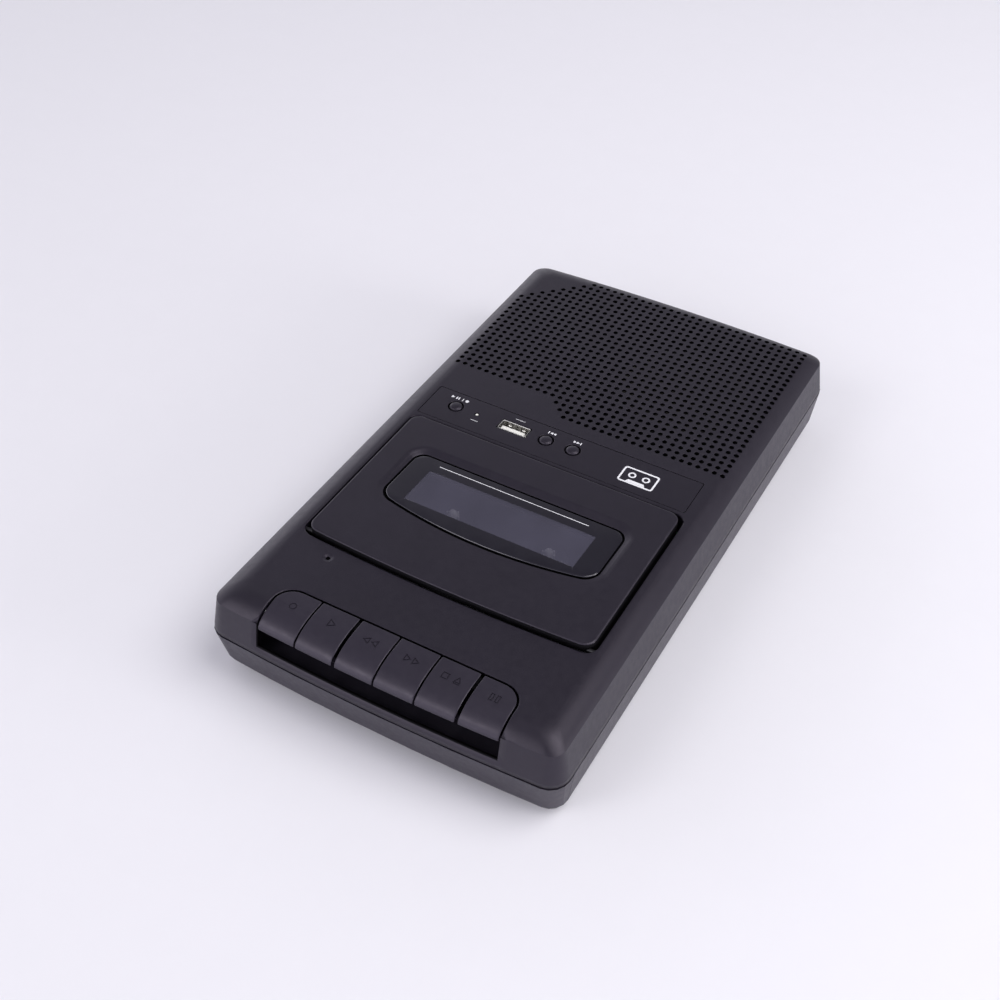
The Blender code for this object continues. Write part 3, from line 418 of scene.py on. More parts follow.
class Sheet:
    """A skin laid out flat: outlines, holes with rounded edges, and where each point goes in space."""

    def __init__(self, boundary, place, edge=()):
        self.boundary, self.place = boundary, place
        self.points, self.edges, self.drops, self.holes, self.round_holes = [], [], [], [], {}
        self.add_loop(boundary, edge[0][1] if edge else 0.0)
        for distance, drop in edge[1:]:
            self.add_loop(offset(boundary, -distance), drop)

    def add_line(self, line, drop=0.0):
        start = len(self.points)
        self.points += [Vector(p) for p in line]
        self.drops += [drop] * len(line)
        self.edges += [(start + i, start + i + 1) for i in range(len(line) - 1)]

    def engrave(self, loop, depth=0.32, wall=0.07):
        """A flat-bottomed groove or recess: the outline at the surface, and just inside it the floor."""
        self.add_loop(loop, 0.0)
        self.add_loop(offset(loop, -wall), depth)

    def add_loop(self, loop, drop=0.0):
        start, count = len(self.points), len(loop)
        self.points += [Vector(p) for p in loop]
        self.drops += [drop] * count
        self.edges += [(start + i, start + (i + 1) % count) for i in range(count)]

    def add_hole(self, loop, lip=LIP):
        """An anticlockwise hole with its edge rounded over."""
        self.holes.append(loop)
        for distance, drop in lip:
            self.add_loop(offset(loop, distance) if distance else loop, drop)

    def build(self, cell=GRILLE_PITCH):
        verts, _, faces = delaunay_2d_cdt(self.points, self.edges, [], 0, 0.00001)[:3]
        tree = KDTree(len(self.points))
        for i, p in enumerate(self.points):
            tree.insert((p.x, p.y, 0.0), i)
        tree.balance()
        placed = []
        for v in verts:
            _, i, gap = tree.find((v.x, v.y, 0.0))
            placed.append(self.place(v.x, v.y, self.drops[i] if gap < 0.01 else 0.0))
        kept = []
        for f in faces:
            cx = sum(verts[i].x for i in f) / len(f)
            cy = sum(verts[i].y for i in f) / len(f)
            key = (round(cx / cell), round((cy - GRILLE_FIRST_Y) / cell))
            if key in self.round_holes:
                hx, hy, r = self.round_holes[key]
                if (cx - hx) ** 2 + (cy - hy) ** 2 < (r * 0.985) ** 2:
                    continue
            if any(inside(h, cx, cy) for h in self.holes) or not inside(self.boundary, cx, cy):
                continue
            a, b, c = (verts[i] for i in f[:3])
            if (b.x - a.x) * (c.y - a.y) - (b.y - a.y) * (c.x - a.x) < 0:
                f = list(reversed(f))
            kept.append(list(f))
        return placed, kept


# ---- top cover ----------------------------------------------------------------------------------------
def inset_of(x, y):
    """How far inside the crease a point lies."""
    bow = END_BOW * (1 - (x / CREASE_HALF) ** 2)
    a = abs(x) - CREASE_HALF + CORNER_RADIUS
    b = abs(y) - bow - CREASE_END + CORNER_RADIUS
    depth = CORNER_RADIUS - max(a, b)
    if min(a, b) + depth > 0:
        depth = (-(a + b) + math.sqrt(max(0.0, 2 * CORNER_RADIUS ** 2 - (a - b) ** 2))) / 2
    return max(0.0, depth)


def top_place(x, y, drop):
    share = min(1.0, inset_of(x, y) / SLOPE_WIDTH)
    return x, y, TOP_Z - (TOP_Z - CREASE_Z) * (1 - share) ** 2.3 - drop


def grille_cells():
    for row in range(27):
        for column in range(-18, 19):
            if (row < 3 and column < -2 - row) or row > 19 + column + 18:
                continue
            yield column, row


def key_slot(margin=0.0):
    half, back, radius = SLOT_HALF + margin, SLOT_BACK + margin, SLOT_RADIUS + margin
    right = arc(half - radius, back - radius, radius, 0, 90, 8)
    return right + arc(-half + radius, back - radius, radius, 90, 180, 8)


def strip_outline(margin):
    half, shift = (STRIP_RIGHT - STRIP_LEFT) / 2, (STRIP_RIGHT + STRIP_LEFT) / 2
    outline = rounded_outline(half + margin, STRIP_FRONT - margin, STRIP_BACK + margin, 0.6, corner_steps=3,
                              bow_steps=4)
    return [(x + shift, y) for x, y in outline]


def left_wall(back_y, between):
    """Part of the left wall with the openings for the sockets and the thumb wheel."""
    def place(u, z, drop):
        return drop - CREASE_HALF - WALL_DRAFT * (CREASE_Z - z) / (CREASE_Z - PARTING_Z), -u, z

    rising = sorted(between)
    outline = [(-back_y, LEFT_BOTTOM_Z), (back_y, LEFT_BOTTOM_Z)] + [(back_y, z) for z in rising]
    outline += [(back_y, LEFT_TOP_Z), (-back_y, LEFT_TOP_Z)] + [(-back_y, z) for z in reversed(rising)]
    wall = Sheet(outline, place)
    edge = ((0.0, 0.30), (0.10, 0.10), (0.30, 0.0))
    for node, radius in (("earphone_jack", 3.0), ("microphone_jack", 3.0), ("dc_power_jack", 4.0)):
        _, y, z = middle(node)
        wall.add_hole([(u - y, z + rise) for u, rise in circle(0.0, 0.0, radius, 32)], lip=edge)
    low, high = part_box("volume_wheel")
    y = middle("volume_wheel")[1]
    gap, half = 0.35, 6.6
    slot = rounded_outline(half, low.z / MM - gap, high.z / MM + gap, 0.6, corner_steps=3, bow_steps=4)
    wall.add_hole([(u - y, z) for u, z in slot], lip=edge)
    return wall.build()


def build_top_cover():
    # boundary: the crease, interrupted at the front by the key slot
    ring = crease_ring(0.0, steps=40)
    slot = key_slot()
    front_row = [(SLOT_HALF * (i / 8 - 1),
                  -CREASE_END - END_BOW * (1 - (SLOT_HALF * (i / 8 - 1) / CREASE_HALF) ** 2))
                 for i in range(17)]
    left_front, right_front = front_row[0], front_row[-1]
    outer = [p for p in ring if not (p[1] < -120 and abs(p[0]) < SLOT_HALF + 0.6)]
    split = next(i for i, p in enumerate(outer) if p[1] < -120 and p[0] > 0)
    boundary = outer[:split] + [left_front] + list(reversed(slot)) + [right_front] + outer[split:]
    sheet = Sheet(boundary, top_place)
    for inset in (0.25, 0.8, 1.6, 2.6, 3.8, 5.2, 6.8, 8.4, SLOPE_WIDTH):
        loop = crease_ring(inset, steps=40)
        for pair in zip(loop, loop[1:] + loop[:1]):
            if not any(y < -100 and abs(x) < SLOT_HALF + 1.6 for x, y in pair):
                sheet.add_line(pair)
    # rounded edge of the key slot, open at the front
    for distance, drop in LIP[1:]:
        rim = [(SLOT_HALF + distance, y) for y in (-124.4, -122.0, -119.5)] + key_slot(distance)
        rim += [(-SLOT_HALF - distance, y) for y in (-119.5, -122.0, -124.4)]
        sheet.add_line(rim, drop)
    for i in range(split, split + len(slot) + 2):
        sheet.drops[i] = LIP[0][1]
    opening = rounded_outline(OPENING_HALF, OPENING_FRONT, OPENING_BACK, 4.5, OPENING_BOW, 0.0)
    sheet.add_hole(opening)
    sheet.add_hole(strip_outline(0.16), lip=((0.0, 0.15), (0.15, 0.0)))
    mic = circle(*MICROPHONE, 0.75, 16)
    sheet.add_hole(mic, lip=((0.0, 0.55), (0.35, 0.45), (0.8, 0.22), (1.3, 0.06), (1.7, 0.0)))
    for column, row in grille_cells():
        x, y = column * GRILLE_PITCH, GRILLE_FIRST_Y + row * GRILLE_PITCH
        sheet.round_holes[(column, row)] = (x, y, GRILLE_RADIUS)
        sheet.add_loop(circle(x, y, GRILLE_RADIUS, 10), 0.12)
        sheet.add_loop(circle(x, y, GRILLE_RADIUS + 0.14, 10), 0.0)
    verts, faces = sheet.build()
    # side wall from the crease down to the parting line
    levels = [(0.0, CREASE_Z), (-0.03, CREASE_Z - 0.12), (-0.10, CREASE_Z - 0.5)]
    levels += [(-WALL_DRAFT * (CREASE_Z - z) / (CREASE_Z - PARTING_Z), z)
               for z in (LEFT_TOP_Z, 30.0, SLOT_BOTTOM_Z + 0.05, LEFT_BOTTOM_Z, PARTING_Z + PARTING_GAP)]
    base_ring = outer[:split] + front_row + outer[split:]
    start, count = len(verts), len(base_ring)
    for drop_in, z in levels:
        for x, y in base_ring:
            nx, ny = wall_normal(x, y)
            verts.append((x - nx * drop_in, y - ny * drop_in, z))
    gap = range(split, split + len(front_row) - 1)
    left = next(i for i in range(count - 1) if base_ring[i][1] - base_ring[i + 1][1] > 100)
    slot_level = next(i for i, (_, z) in enumerate(levels) if z < SLOT_BOTTOM_Z + 0.1)
    for position, face in enumerate(band(count, len(levels), start)):
        level, i = divmod(position, count)
        replaced = i == left and LEFT_TOP_Z >= levels[level][1] > LEFT_BOTTOM_Z
        if not replaced and not (i in gap and level < slot_level):
            faces.append(face)
    between = [z for _, z in levels if LEFT_TOP_Z > z > LEFT_BOTTOM_Z]
    side_verts, side_faces = left_wall(base_ring[left][1], between)
    faces += [[len(verts) + i for i in face] for face in side_faces]
    verts += side_verts
    # skirt of the cassette well, hanging from the edge of the opening
    start, count = len(verts), len(opening)
    verts += [(x, y, TOP_Z - LIP[0][1]) for x, y in opening]
    verts += [(x, y, SKIRT_BOTTOM_Z) for x, y in opening]
    faces += [list(reversed(face)) for face in band(count, 2, start)]
    shell = weld(mesh_from(verts, faces))
    shell = add_piece("top_shell", shell, "case_plastic", "case", ("top_cover",), sharp=28)
    # rim and inside of the shell in painted gap shade, so the openings and the parting line read dark
    thicken(shell, SHELL_SKIN, "painted_gap_shade")


def wall_normal(x, y):
    """Outward direction of the case wall at a point of the crease outline."""
    flat_x, flat_y = CREASE_HALF - CORNER_RADIUS, CREASE_END - CORNER_RADIUS
    bow = END_BOW * (1 - (x / CREASE_HALF) ** 2)
    nx = max(0.0, abs(x) - flat_x)
    ny = max(0.0, abs(y) - bow - flat_y)
    if ny == 0:
        return (math.copysign(1.0, x), 0.0)
    length = math.hypot(nx, ny)
    return (math.copysign(nx / length, x), math.copysign(ny / length, y))


# ---- cassette door and lens ---------------------------------------------------------------------------
EDGE = ((0.0, 0.62), (0.10, 0.36), (0.28, 0.15), (0.55, 0.04), (0.90, 0.0))      # rounded outer edge
DEPRESSION_WIDTH, DEPRESSION_DEPTH = 4.2, 1.25
DOOR_SIDE_TOP_Z, DOOR_SIDE_BOTTOM_Z = DOOR_TOP_Z - 0.58, 34.0
HINGE_END_Y, HINGE_END_BOTTOM_Z = -77.0, 38.2      # shallow in front, where the side swings towards the heads


def lens_outline(margin=0.0):
    return rounded_outline(LENS_HALF + margin, LENS_FRONT - margin, LENS_BACK + margin, 5.0 + margin * 0.8,
                           LENS_BOW, 0.0, 8, 28)


def lens_distance(x, y):
    """How far outside the lens a point of the door lies, roughly."""
    bow = LENS_BOW * (1 - (x / LENS_HALF) ** 2) if y < LENS_FRONT else 0.0
    dx = max(0.0, abs(x) - LENS_HALF + 5.0)
    dy = max(0.0, y - LENS_BACK + 5.0, LENS_FRONT - bow - y + 5.0)
    return max(0.0, math.hypot(dx, dy) - 5.0)


def door_place(x, y, drop):
    """The panel is flat, but sinks towards the back edge of the lens."""
    share = max(0.0, min(1.0, (y - LENS_FRONT + 4.0) / (LENS_BACK - LENS_FRONT)))
    slope = max(0.0, 1.0 - lens_distance(x, y) / DEPRESSION_WIDTH)
    slope = slope * slope * (3 - 2 * slope)
    return x, y, DOOR_TOP_Z - drop - DEPRESSION_DEPTH * share * slope


def lens_plane(y, drop):
    share = max(-0.25, min(1.0, (y - LENS_FRONT) / (LENS_BACK - LENS_FRONT)))
    return 41.60 - 1.15 * share - drop


def door_outline(margin):
    return rounded_outline(OPENING_HALF - DOOR_GAP + margin, OPENING_FRONT + DOOR_GAP - margin,
                           OPENING_BACK - DOOR_GAP + margin, 4.5, OPENING_BOW, 0.0, 8, 24)


def build_door():
    sheet = Sheet(door_outline(0.0), door_place, EDGE)
    seat = rounded_outline(LENS_HALF + 0.7, LENS_FRONT - 1.1, LENS_BACK + 0.45, 5.4, LENS_BOW, 0.0, 8, 28)
    sheet.add_hole(seat, lip=((0.0, 0.16), (0.18, 0.0)))
    for margin in (1.7, 2.2, 2.7, 3.2, 3.8, 4.4):
        sheet.add_loop(lens_outline(margin))
    panel = add_piece("door_panel", mesh_from(*sheet.build()), "case_plastic", "door", ("cassette_door",))
    # rim and underside of the panel in painted gap shade, so the gap round the door reads black
    thicken(panel, PANEL_SKIN, "painted_gap_shade")
    # side wall of the door in painted gap shade, hanging deep so that the gap round the door reads black
    # instead of showing the lit parts below
    ring = door_outline(-0.03)
    verts = [(x, y, DOOR_SIDE_TOP_Z) for x, y in ring]
    verts += [(x, y, DOOR_SIDE_BOTTOM_Z if y > HINGE_END_Y else HINGE_END_BOTTOM_Z) for x, y in ring]
    side = add_piece("door_side", mesh_from(verts, band(len(ring))), "painted_gap_shade", "door")
    thicken(side, DOOR_SIDE_SKIN)
    # inner frame with the hinge lugs, from the CAD shape below the visible skin, in painted gap shade
    low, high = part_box("cassette_door")
    inner = carved(solid_of("cassette_door"),
                   box_mesh(-80, 80, -120, 20, low.z / MM - 1, high.z / MM - 2.7), "INTERSECT")
    rounded(add_piece("door_inner_frame", inner, "painted_gap_shade", "door"), 0.15)

    def place(x, y, drop):
        return x, y, lens_plane(y, drop)

    lens = Sheet(lens_outline(), place, ((0.0, 0.75), (0.06, 0.42), (0.24, 0.16), (0.55, 0.0)))
    window = rounded_outline(WINDOW_HALF, WINDOW_FRONT, WINDOW_BACK, 0.5, corner_steps=3, bow_steps=6)
    lens.add_hole(window, lip=((0.0, 0.03), (0.06, 0.0)))
    thicken(add_piece("lens_frame", mesh_from(*lens.build()), "gloss_black", "door", ("window_lens",)),
            LENS_SKIN)
    pane = Sheet(offset(window, -0.03), place)
    thicken(add_piece("lens_window", mesh_from(*pane.build()), "window_pane", "door"), PANE_SKIN)
    # plain white hairline behind the window
    line = [(-34.5, -26.25), (31.5, -26.25), (31.5, -25.95), (-34.5, -25.95)]
    verts, faces = [], [[0, 1, 2, 3]]
    for x, y in line:
        verts.append(place(x, y, -0.012))
    thicken(add_piece("lens_hairline", mesh_from(verts, faces), "icon_white", "door"), HAIRLINE_SKIN)
    for side in ("left", "right"):
        refine("guide_rail_" + side, "cassette_guide_" + side, "inner_plastic", "door", 0.3)
    refine("door_pin", "door_hinge_pin", "dark_steel", "case", 0.15)


# ---- keys ---------------------------------------------------------------------------------------------
KEY_LINE = ((-109.0, 39.9), (-112.5, 39.92), (-115.5, 39.9), (-117.7, 39.65), (-119.7, 39.2), (-121.4, 38.6),
            (-122.9, 37.8), (-124.2, 36.9), (-125.2, 35.9), (-125.8, 34.9), (-126.1, 33.9))
KEY_FRONT_LEDGE = 0.95


def key_curve(distance):
    """Point and outward direction on the side view of a key, measured along it from the back."""
    left = distance
    for (y0, z0), (y1, z1) in zip(KEY_LINE, KEY_LINE[1:]):
        step = math.hypot(y1 - y0, z1 - z0)
        if left <= step or (y1, z1) == KEY_LINE[-1]:
            t = left / step
            direction = Vector((y1 - y0, z1 - z0)).normalized()
            return y0 + (y1 - y0) * t, z0 + (z1 - z0) * t, direction
        left -= step


KEY_LENGTH = sum(math.hypot(b[0] - a[0], b[1] - a[1]) for a, b in zip(KEY_LINE, KEY_LINE[1:]))


def smooth_normal(distance):
    before = key_curve(max(0.0, distance - 1.0))[2]
    after = key_curve(min(KEY_LENGTH, distance + 1.0))[2]
    along = (before + after).normalized()
    return Vector((-along.y, along.x)) if along.x > 0 else Vector((along.y, -along.x))


def key_place(x, v, drop):
    distance = -v
    y, z, _ = key_curve(distance)
    along = smooth_normal(distance)
    if distance > KEY_LENGTH - KEY_FRONT_LEDGE:
        drop += 0.16
    lean = max(0.0, min(1.0, (-y - 117.0) / 8.0))
    y -= END_BOW * (1 - (x / CREASE_HALF) ** 2) * lean
    return x, y + abs(along.x) * drop, z - abs(along.y) * drop


def frame_lines(points, width=0.5):
    """Outline strokes of a closed figure as one ring: its outer and its inner loop."""
    return offset(points, width / 2), offset(points, -width / 2)


def key_symbols(name, cx):
    """Closed figures engraved on a key: record, play, rewind, fast forward, stop with eject, and pause."""
    v = -6.9

    def triangle(x, size, turn=0.0):
        return [(x + size * math.cos(turn + a), v + size * math.sin(turn + a))
                for a in (0.0, 2 * math.pi / 3, 4 * math.pi / 3)]

    def bar(x, w, h):
        return [(x - w, v - h), (x + w, v - h), (x + w, v + h), (x - w, v + h)]

    if name == "record_key":
        return [circle(cx, v, 1.25, 20)]
    if name == "play_key":
        return [triangle(cx, 1.7)]
    if name == "rewind_key":
        return [triangle(cx - 1.6, 1.45, math.pi), triangle(cx + 1.75, 1.45, math.pi)]
    if name == "fast_forward_key":
        return [triangle(cx - 1.75, 1.45), triangle(cx + 1.6, 1.45)]
    if name == "pause_key":
        return [bar(cx - 1.15, 0.55, 1.35), bar(cx + 1.15, 0.55, 1.35)]
    return [bar(cx - 2.6, 1.15, 1.15), triangle(cx + 2.3, 1.4, math.pi / 2),
            [(cx + 1.0, v - 1.45), (cx + 3.6, v - 1.45), (cx + 3.6, v - 1.10), (cx + 1.0, v - 1.10)]]


# the corners of the row and of a single key, and the spacing of the rim's points along a key's side
ROW_CORNER, KEY_CORNER, SIDE_STEP = 7.4, 0.45, 0.55
KEY_COLUMNS, KEY_ROWS, KEY_MARGIN = 8, 26, 0.8
FIGURE_BAND, FIGURE_REACH, FIGURE_DEPTH, FIGURE_STROKE = (-9.4, -4.4), 5.2, 0.30, 0.46


def build_keys():
    for index, name in enumerate(KEY_NAMES):
        x0 = (index - 3) * KEY_PITCH + KEY_GAPS[index] / 2
        x1 = (index - 2) * KEY_PITCH - KEY_GAPS[index + 1] / 2
        cx = (x0 + x1) / 2
        outer_left, outer_right = index == 0, index == len(KEY_NAMES) - 1
        r_left = ROW_CORNER if outer_left else KEY_CORNER
        r_right = ROW_CORNER if outer_right else KEY_CORNER
        steps = {ROW_CORNER: 10, KEY_CORNER: 3}
        end = -KEY_LENGTH
        outline = arc(x1 - r_right, -r_right, r_right, 0, 90, steps[r_right])
        outline += arc(x0 + r_left, -r_left, r_left, 90, 180, steps[r_left])
        along = [end + 0.9 + SIDE_STEP * i for i in range(100) if end + 0.9 + SIDE_STEP * i < -0.9]
        outline += [(x0, v) for v in reversed(along) if v < -r_left - 0.3]
        outline += arc(x0 + KEY_CORNER, end + KEY_CORNER, KEY_CORNER, 180, 270, 3)
        outline += [(x0 + (x1 - x0) * i / KEY_COLUMNS, end) for i in range(1, KEY_COLUMNS)]
        outline += arc(x1 - KEY_CORNER, end + KEY_CORNER, KEY_CORNER, 270, 360, 3)
        outline += [(x1, v) for v in along if v < -r_right - 0.3]
        sheet = Sheet(outline, key_place, ((0.0, 0.24), (0.06, 0.11), (0.17, 0.03), (0.34, 0.0)))
        for i in range(1, KEY_ROWS):
            v = end * i / KEY_ROWS
            lo, hi = x0 + KEY_MARGIN, x1 - KEY_MARGIN
            if -v < ROW_CORNER:
                cut_in = ROW_CORNER - math.sqrt(max(0.0, ROW_CORNER ** 2 - (ROW_CORNER + v) ** 2))
                lo += cut_in if outer_left else 0.0
                hi -= cut_in if outer_right else 0.0
            if FIGURE_BAND[0] < v < FIGURE_BAND[1]:
                sheet.add_line([(lo, v), (cx - FIGURE_REACH, v)])
                sheet.add_line([(cx + FIGURE_REACH, v), (hi, v)])
                continue
            sheet.add_line([(lo + (hi - lo) * j / KEY_COLUMNS, v) for j in range(KEY_COLUMNS + 1)])
        for v in (end + KEY_FRONT_LEDGE - 0.03, end + KEY_FRONT_LEDGE + 0.03):
            sheet.add_line([(x0 + 0.8 + (x1 - x0 - 1.6) * j / KEY_COLUMNS, v)
                            for j in range(KEY_COLUMNS + 1)])
        for figure in key_symbols(name, cx):
            thin = len(figure) == 4 and abs(figure[0][1] - figure[2][1]) < 0.6
            if thin:
                sheet.engrave(figure, FIGURE_DEPTH)
                continue
            outside, inner = frame_lines(figure, FIGURE_STROKE)
            sheet.engrave(outside, FIGURE_DEPTH)
            sheet.add_loop(offset(inner, 0.07), FIGURE_DEPTH)
            sheet.add_loop(inner, 0.0)
        cap = add_piece(name + "_cap", mesh_from(*sheet.build()), "key_plastic", name, (name,), sharp=50)
        # rim and underside of the cap in painted gap shade, darkening the gaps between the keys
        thicken(cap, KEY_SKIN, "painted_gap_shade")
        # the arm that carries the cap, from the CAD shape, in painted gap shade so the gaps between the keys
        # read black
        arm = carved(solid_of(name), box_mesh(-80, 80, -112.5, -80, 20, 38.1), "INTERSECT")
        rounded(add_piece(name + "_arm", arm, "painted_gap_shade", name), 0.2)
    refine("key_axle", "key_shaft", "steel", "case", 0.15)


# ---- control strip ------------------------------------------------------------------------------------
STRIP_TOP_Z, PRINT_BOTTOM_Z, PRINT_TOP_Z = 39.97, 39.955, 39.985
MARK_Y = 15.5
SKIP_HALF, ARROW_HALF = 0.65, 0.75
CASSETTE_MIDDLE, CASSETTE_HALF = (36.0, 8.6), (7.6, 4.6)


def build_strip():
    def place(x, y, drop):
        return x, y, STRIP_TOP_Z - drop

    sheet = Sheet(strip_outline(0.0), place, ((0.0, 0.18), (0.08, 0.06), (0.2, 0.0)))
    for x in BUTTON_X.values():
        sheet.add_hole(circle(x, CONTROL_Y, 3.35, 28), lip=((0.0, 0.25), (0.12, 0.08), (0.3, 0.0)))
    sheet.add_hole(circle(LED_X, CONTROL_Y, 0.95, 14), lip=((0.0, 0.2), (0.15, 0.0)))
    half_x, half_y = 6.85, 3.2
    usb = rounded_outline(half_x, -half_y, half_y, 0.6, corner_steps=3, bow_steps=4)
    usb = [(x + USB_X, y + CONTROL_Y) for x, y in usb]
    sheet.add_hole(usb, lip=((0.0, 0.22), (0.1, 0.07), (0.25, 0.0)))
    plate = add_piece("strip_plate", mesh_from(*sheet.build()), "strip_plastic", "case", ("control_strip",))
    # rim and underside of the strip in painted gap shade, so its edge gap and holes read dark
    thicken(plate, STRIP_SKIN, "painted_gap_shade")


def build_prints():
    """Printed marks: play and pause beside record, previous, next, two dashes, and a cassette."""
    marks = []

    def arrow(x, w, h):
        ends = [(x - w, MARK_Y - h), (x + w, MARK_Y), (x - w, MARK_Y + h)]
        marks.append(ends if w > 0 else [ends[0], ends[2], ends[1]])

    def block(x, y, w, h):
        marks.append([(x - w, y - h), (x + w, y - h), (x + w, y + h), (x - w, y + h)])

    arrow(-53.0, ARROW_HALF, ARROW_HALF)
    for x in (-51.3, -50.3):
        block(x, MARK_Y, 0.26, ARROW_HALF)
    block(-48.4, MARK_Y, 0.14, 0.9)
    marks.append(circle(-46.4, MARK_Y, ARROW_HALF, 18))
    block(-7.6, MARK_Y, 0.2, ARROW_HALF)
    for x, way in ((-6.4, -1), (-5.0, -1), (4.4, 1), (5.8, 1)):
        arrow(x, SKIP_HALF * way, 0.7)
    block(7.0, MARK_Y, 0.2, ARROW_HALF)
    block(USB_X, 16.0, 2.2, 0.10)
    block(-37.9, 6.3, 1.7, 0.10)
    add_piece("printed_marks", prism(marks, PRINT_BOTTOM_Z, PRINT_TOP_Z), "icon_white", "case")

    def flat(x, y, drop):
        return x, y, PRINT_TOP_Z

    def with_hole(outline, hole):
        sheet = Sheet(outline, flat)
        sheet.holes.append(hole)
        sheet.add_loop(hole)
        return mesh_from(*sheet.build())

    (cx, cy), (w, h), line = CASSETTE_MIDDLE, CASSETTE_HALF, 0.75
    frames = [rounded_outline(w - inset, -h + inset, h - inset, radius, corner_steps=5, bow_steps=4)
              for inset, radius in ((0.0, 1.2), (line, 0.6))]
    pieces = [with_hole(*[[(cx + x, cy + y) for x, y in outline] for outline in frames])]
    for x in (cx - 3.0, cx + 3.0):
        pieces.append(with_hole(circle(x, cy + 0.5, 1.65, 24), circle(x, cy + 0.5, 0.95, 24)))
    foot = [(cx - 4.2, cy - 3.9), (cx + 4.2, cy - 3.9), (cx + 3.4, cy - 2.4), (cx - 3.4, cy - 2.4)]
    pieces.append(mesh_from(*Sheet(foot, flat).build()))
    thicken(add_piece("printed_cassette", joined(pieces), "icon_white", "case"), PRINT_SKIN)


# side views of the turned pieces, as (radius, height)
BUTTON_PROFILE = ((0, 40.68), (0.9, 40.64), (1.7, 40.52), (2.35, 40.30), (2.62, 39.98), (2.75, 39.5),
                  (2.75, 36.9), (3.85, 36.8), (3.9, 36.7), (3.9, 35.7), (3.8, 35.6), (1.2, 35.6),
                  (1.2, 26.4), (1.0, 26.2), (0, 26.2))


def build_controls():
    for name, x in BUTTON_X.items():
        cap = lathe(list(BUTTON_PROFILE), x, CONTROL_Y, 36)
        add_piece(name + "_cap", cap, "case_plastic", name, (name,), sharp=40)
    led = [(0, 39.95), (0.35, 39.88), (0.62, 39.65), (0.72, 39.3), (0.78, 30.0), (0.78, 26.2), (0, 25.7)]
    add_piece("led_lens", lathe(led, LED_X, CONTROL_Y, 16), "white_plastic", "case", ("status_led",))
    # USB socket: folded steel shell with a rolled mouth and sprung tabs, and its contact tongue
    low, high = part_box("usb_socket")
    cx, cy, _ = middle("usb_socket")
    hx, hy = (high.x - low.x) / 2 / MM, (high.y - low.y) / 2 / MM

    def ring(shrink, radius):
        return [(cx + x, cy + y) for x, y in rounded_outline(hx - shrink, -hy + shrink, hy - shrink, radius,
                                                                corner_steps=4, bow_steps=4)]

    loops = [(ring(0.0, 0.7), low.z / MM), (ring(0.0, 0.7), 39.75), (ring(0.10, 0.65), 39.9),
             (ring(0.28, 0.5), 39.9), (ring(0.42, 0.4), 39.7), (ring(0.42, 0.4), 27.2)]
    verts, faces = [], []
    count = len(loops[0][0])
    for outline, z in loops:
        verts += [(x, y, z) for x, y in outline]
    for level in range(len(loops) - 1):
        for i in range(count):
            j = (i + 1) % count
            a, b = level * count + i, level * count + j
            faces.append([a, b, b + count, a + count])
    faces.append(list(reversed(range(count))))
    faces.append([(len(loops) - 1) * count + i for i in range(count)])
    shell = weld(mesh_from(verts, faces), 0.0000001)
    add_piece("usb_shell", shell, "usb_steel", "case", ("usb_socket",), sharp=40)
    tabs = []
    for x in (cx - 3.2, cx + 3.2):
        for side in (-1, 1):
            y = cy + side * (hy - 0.55)
            tabs.append(box_mesh(x - 0.8, x + 0.8, y - 0.16, y + 0.16, 33.0, 38.0))
    rounded(add_piece("usb_spring_tabs", joined(tabs), "usb_steel", "case"), 0.12)
    low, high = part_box("usb_contact_tongue")
    tongue = box_mesh(low.x / MM, high.x / MM, low.y / MM - 0.15, high.y / MM + 0.25, low.z / MM, 39.35)
    rounded(add_piece("usb_tongue", tongue, "white_plastic", "case", ("usb_contact_tongue",)), 0.25)
    contacts = [box_mesh(cx + o - 0.5, cx + o + 0.5, high.y / MM + 0.23, high.y / MM + 0.31, 30.0, 37.8)
                for o in (-3.5, -1.2, 1.2, 3.5)]
    rounded(add_piece("usb_contacts", joined(contacts), "steel", "case"), 0.03, 1)


# ---- lower case, handle and underside -----------------------------------------------------------------
SCREW_TURNS, SCREW_PITCH = 26, 0.75
FOOT_PROFILE = ((0, 1.7), (4.2, 1.7), (4.2, 0.6), (4.1, 0.25), (3.8, 0.04), (3.5, 0.0), (2.3, 0.0),
                (2.1, 0.08), (1.9, 0.3), (0, 0.3))


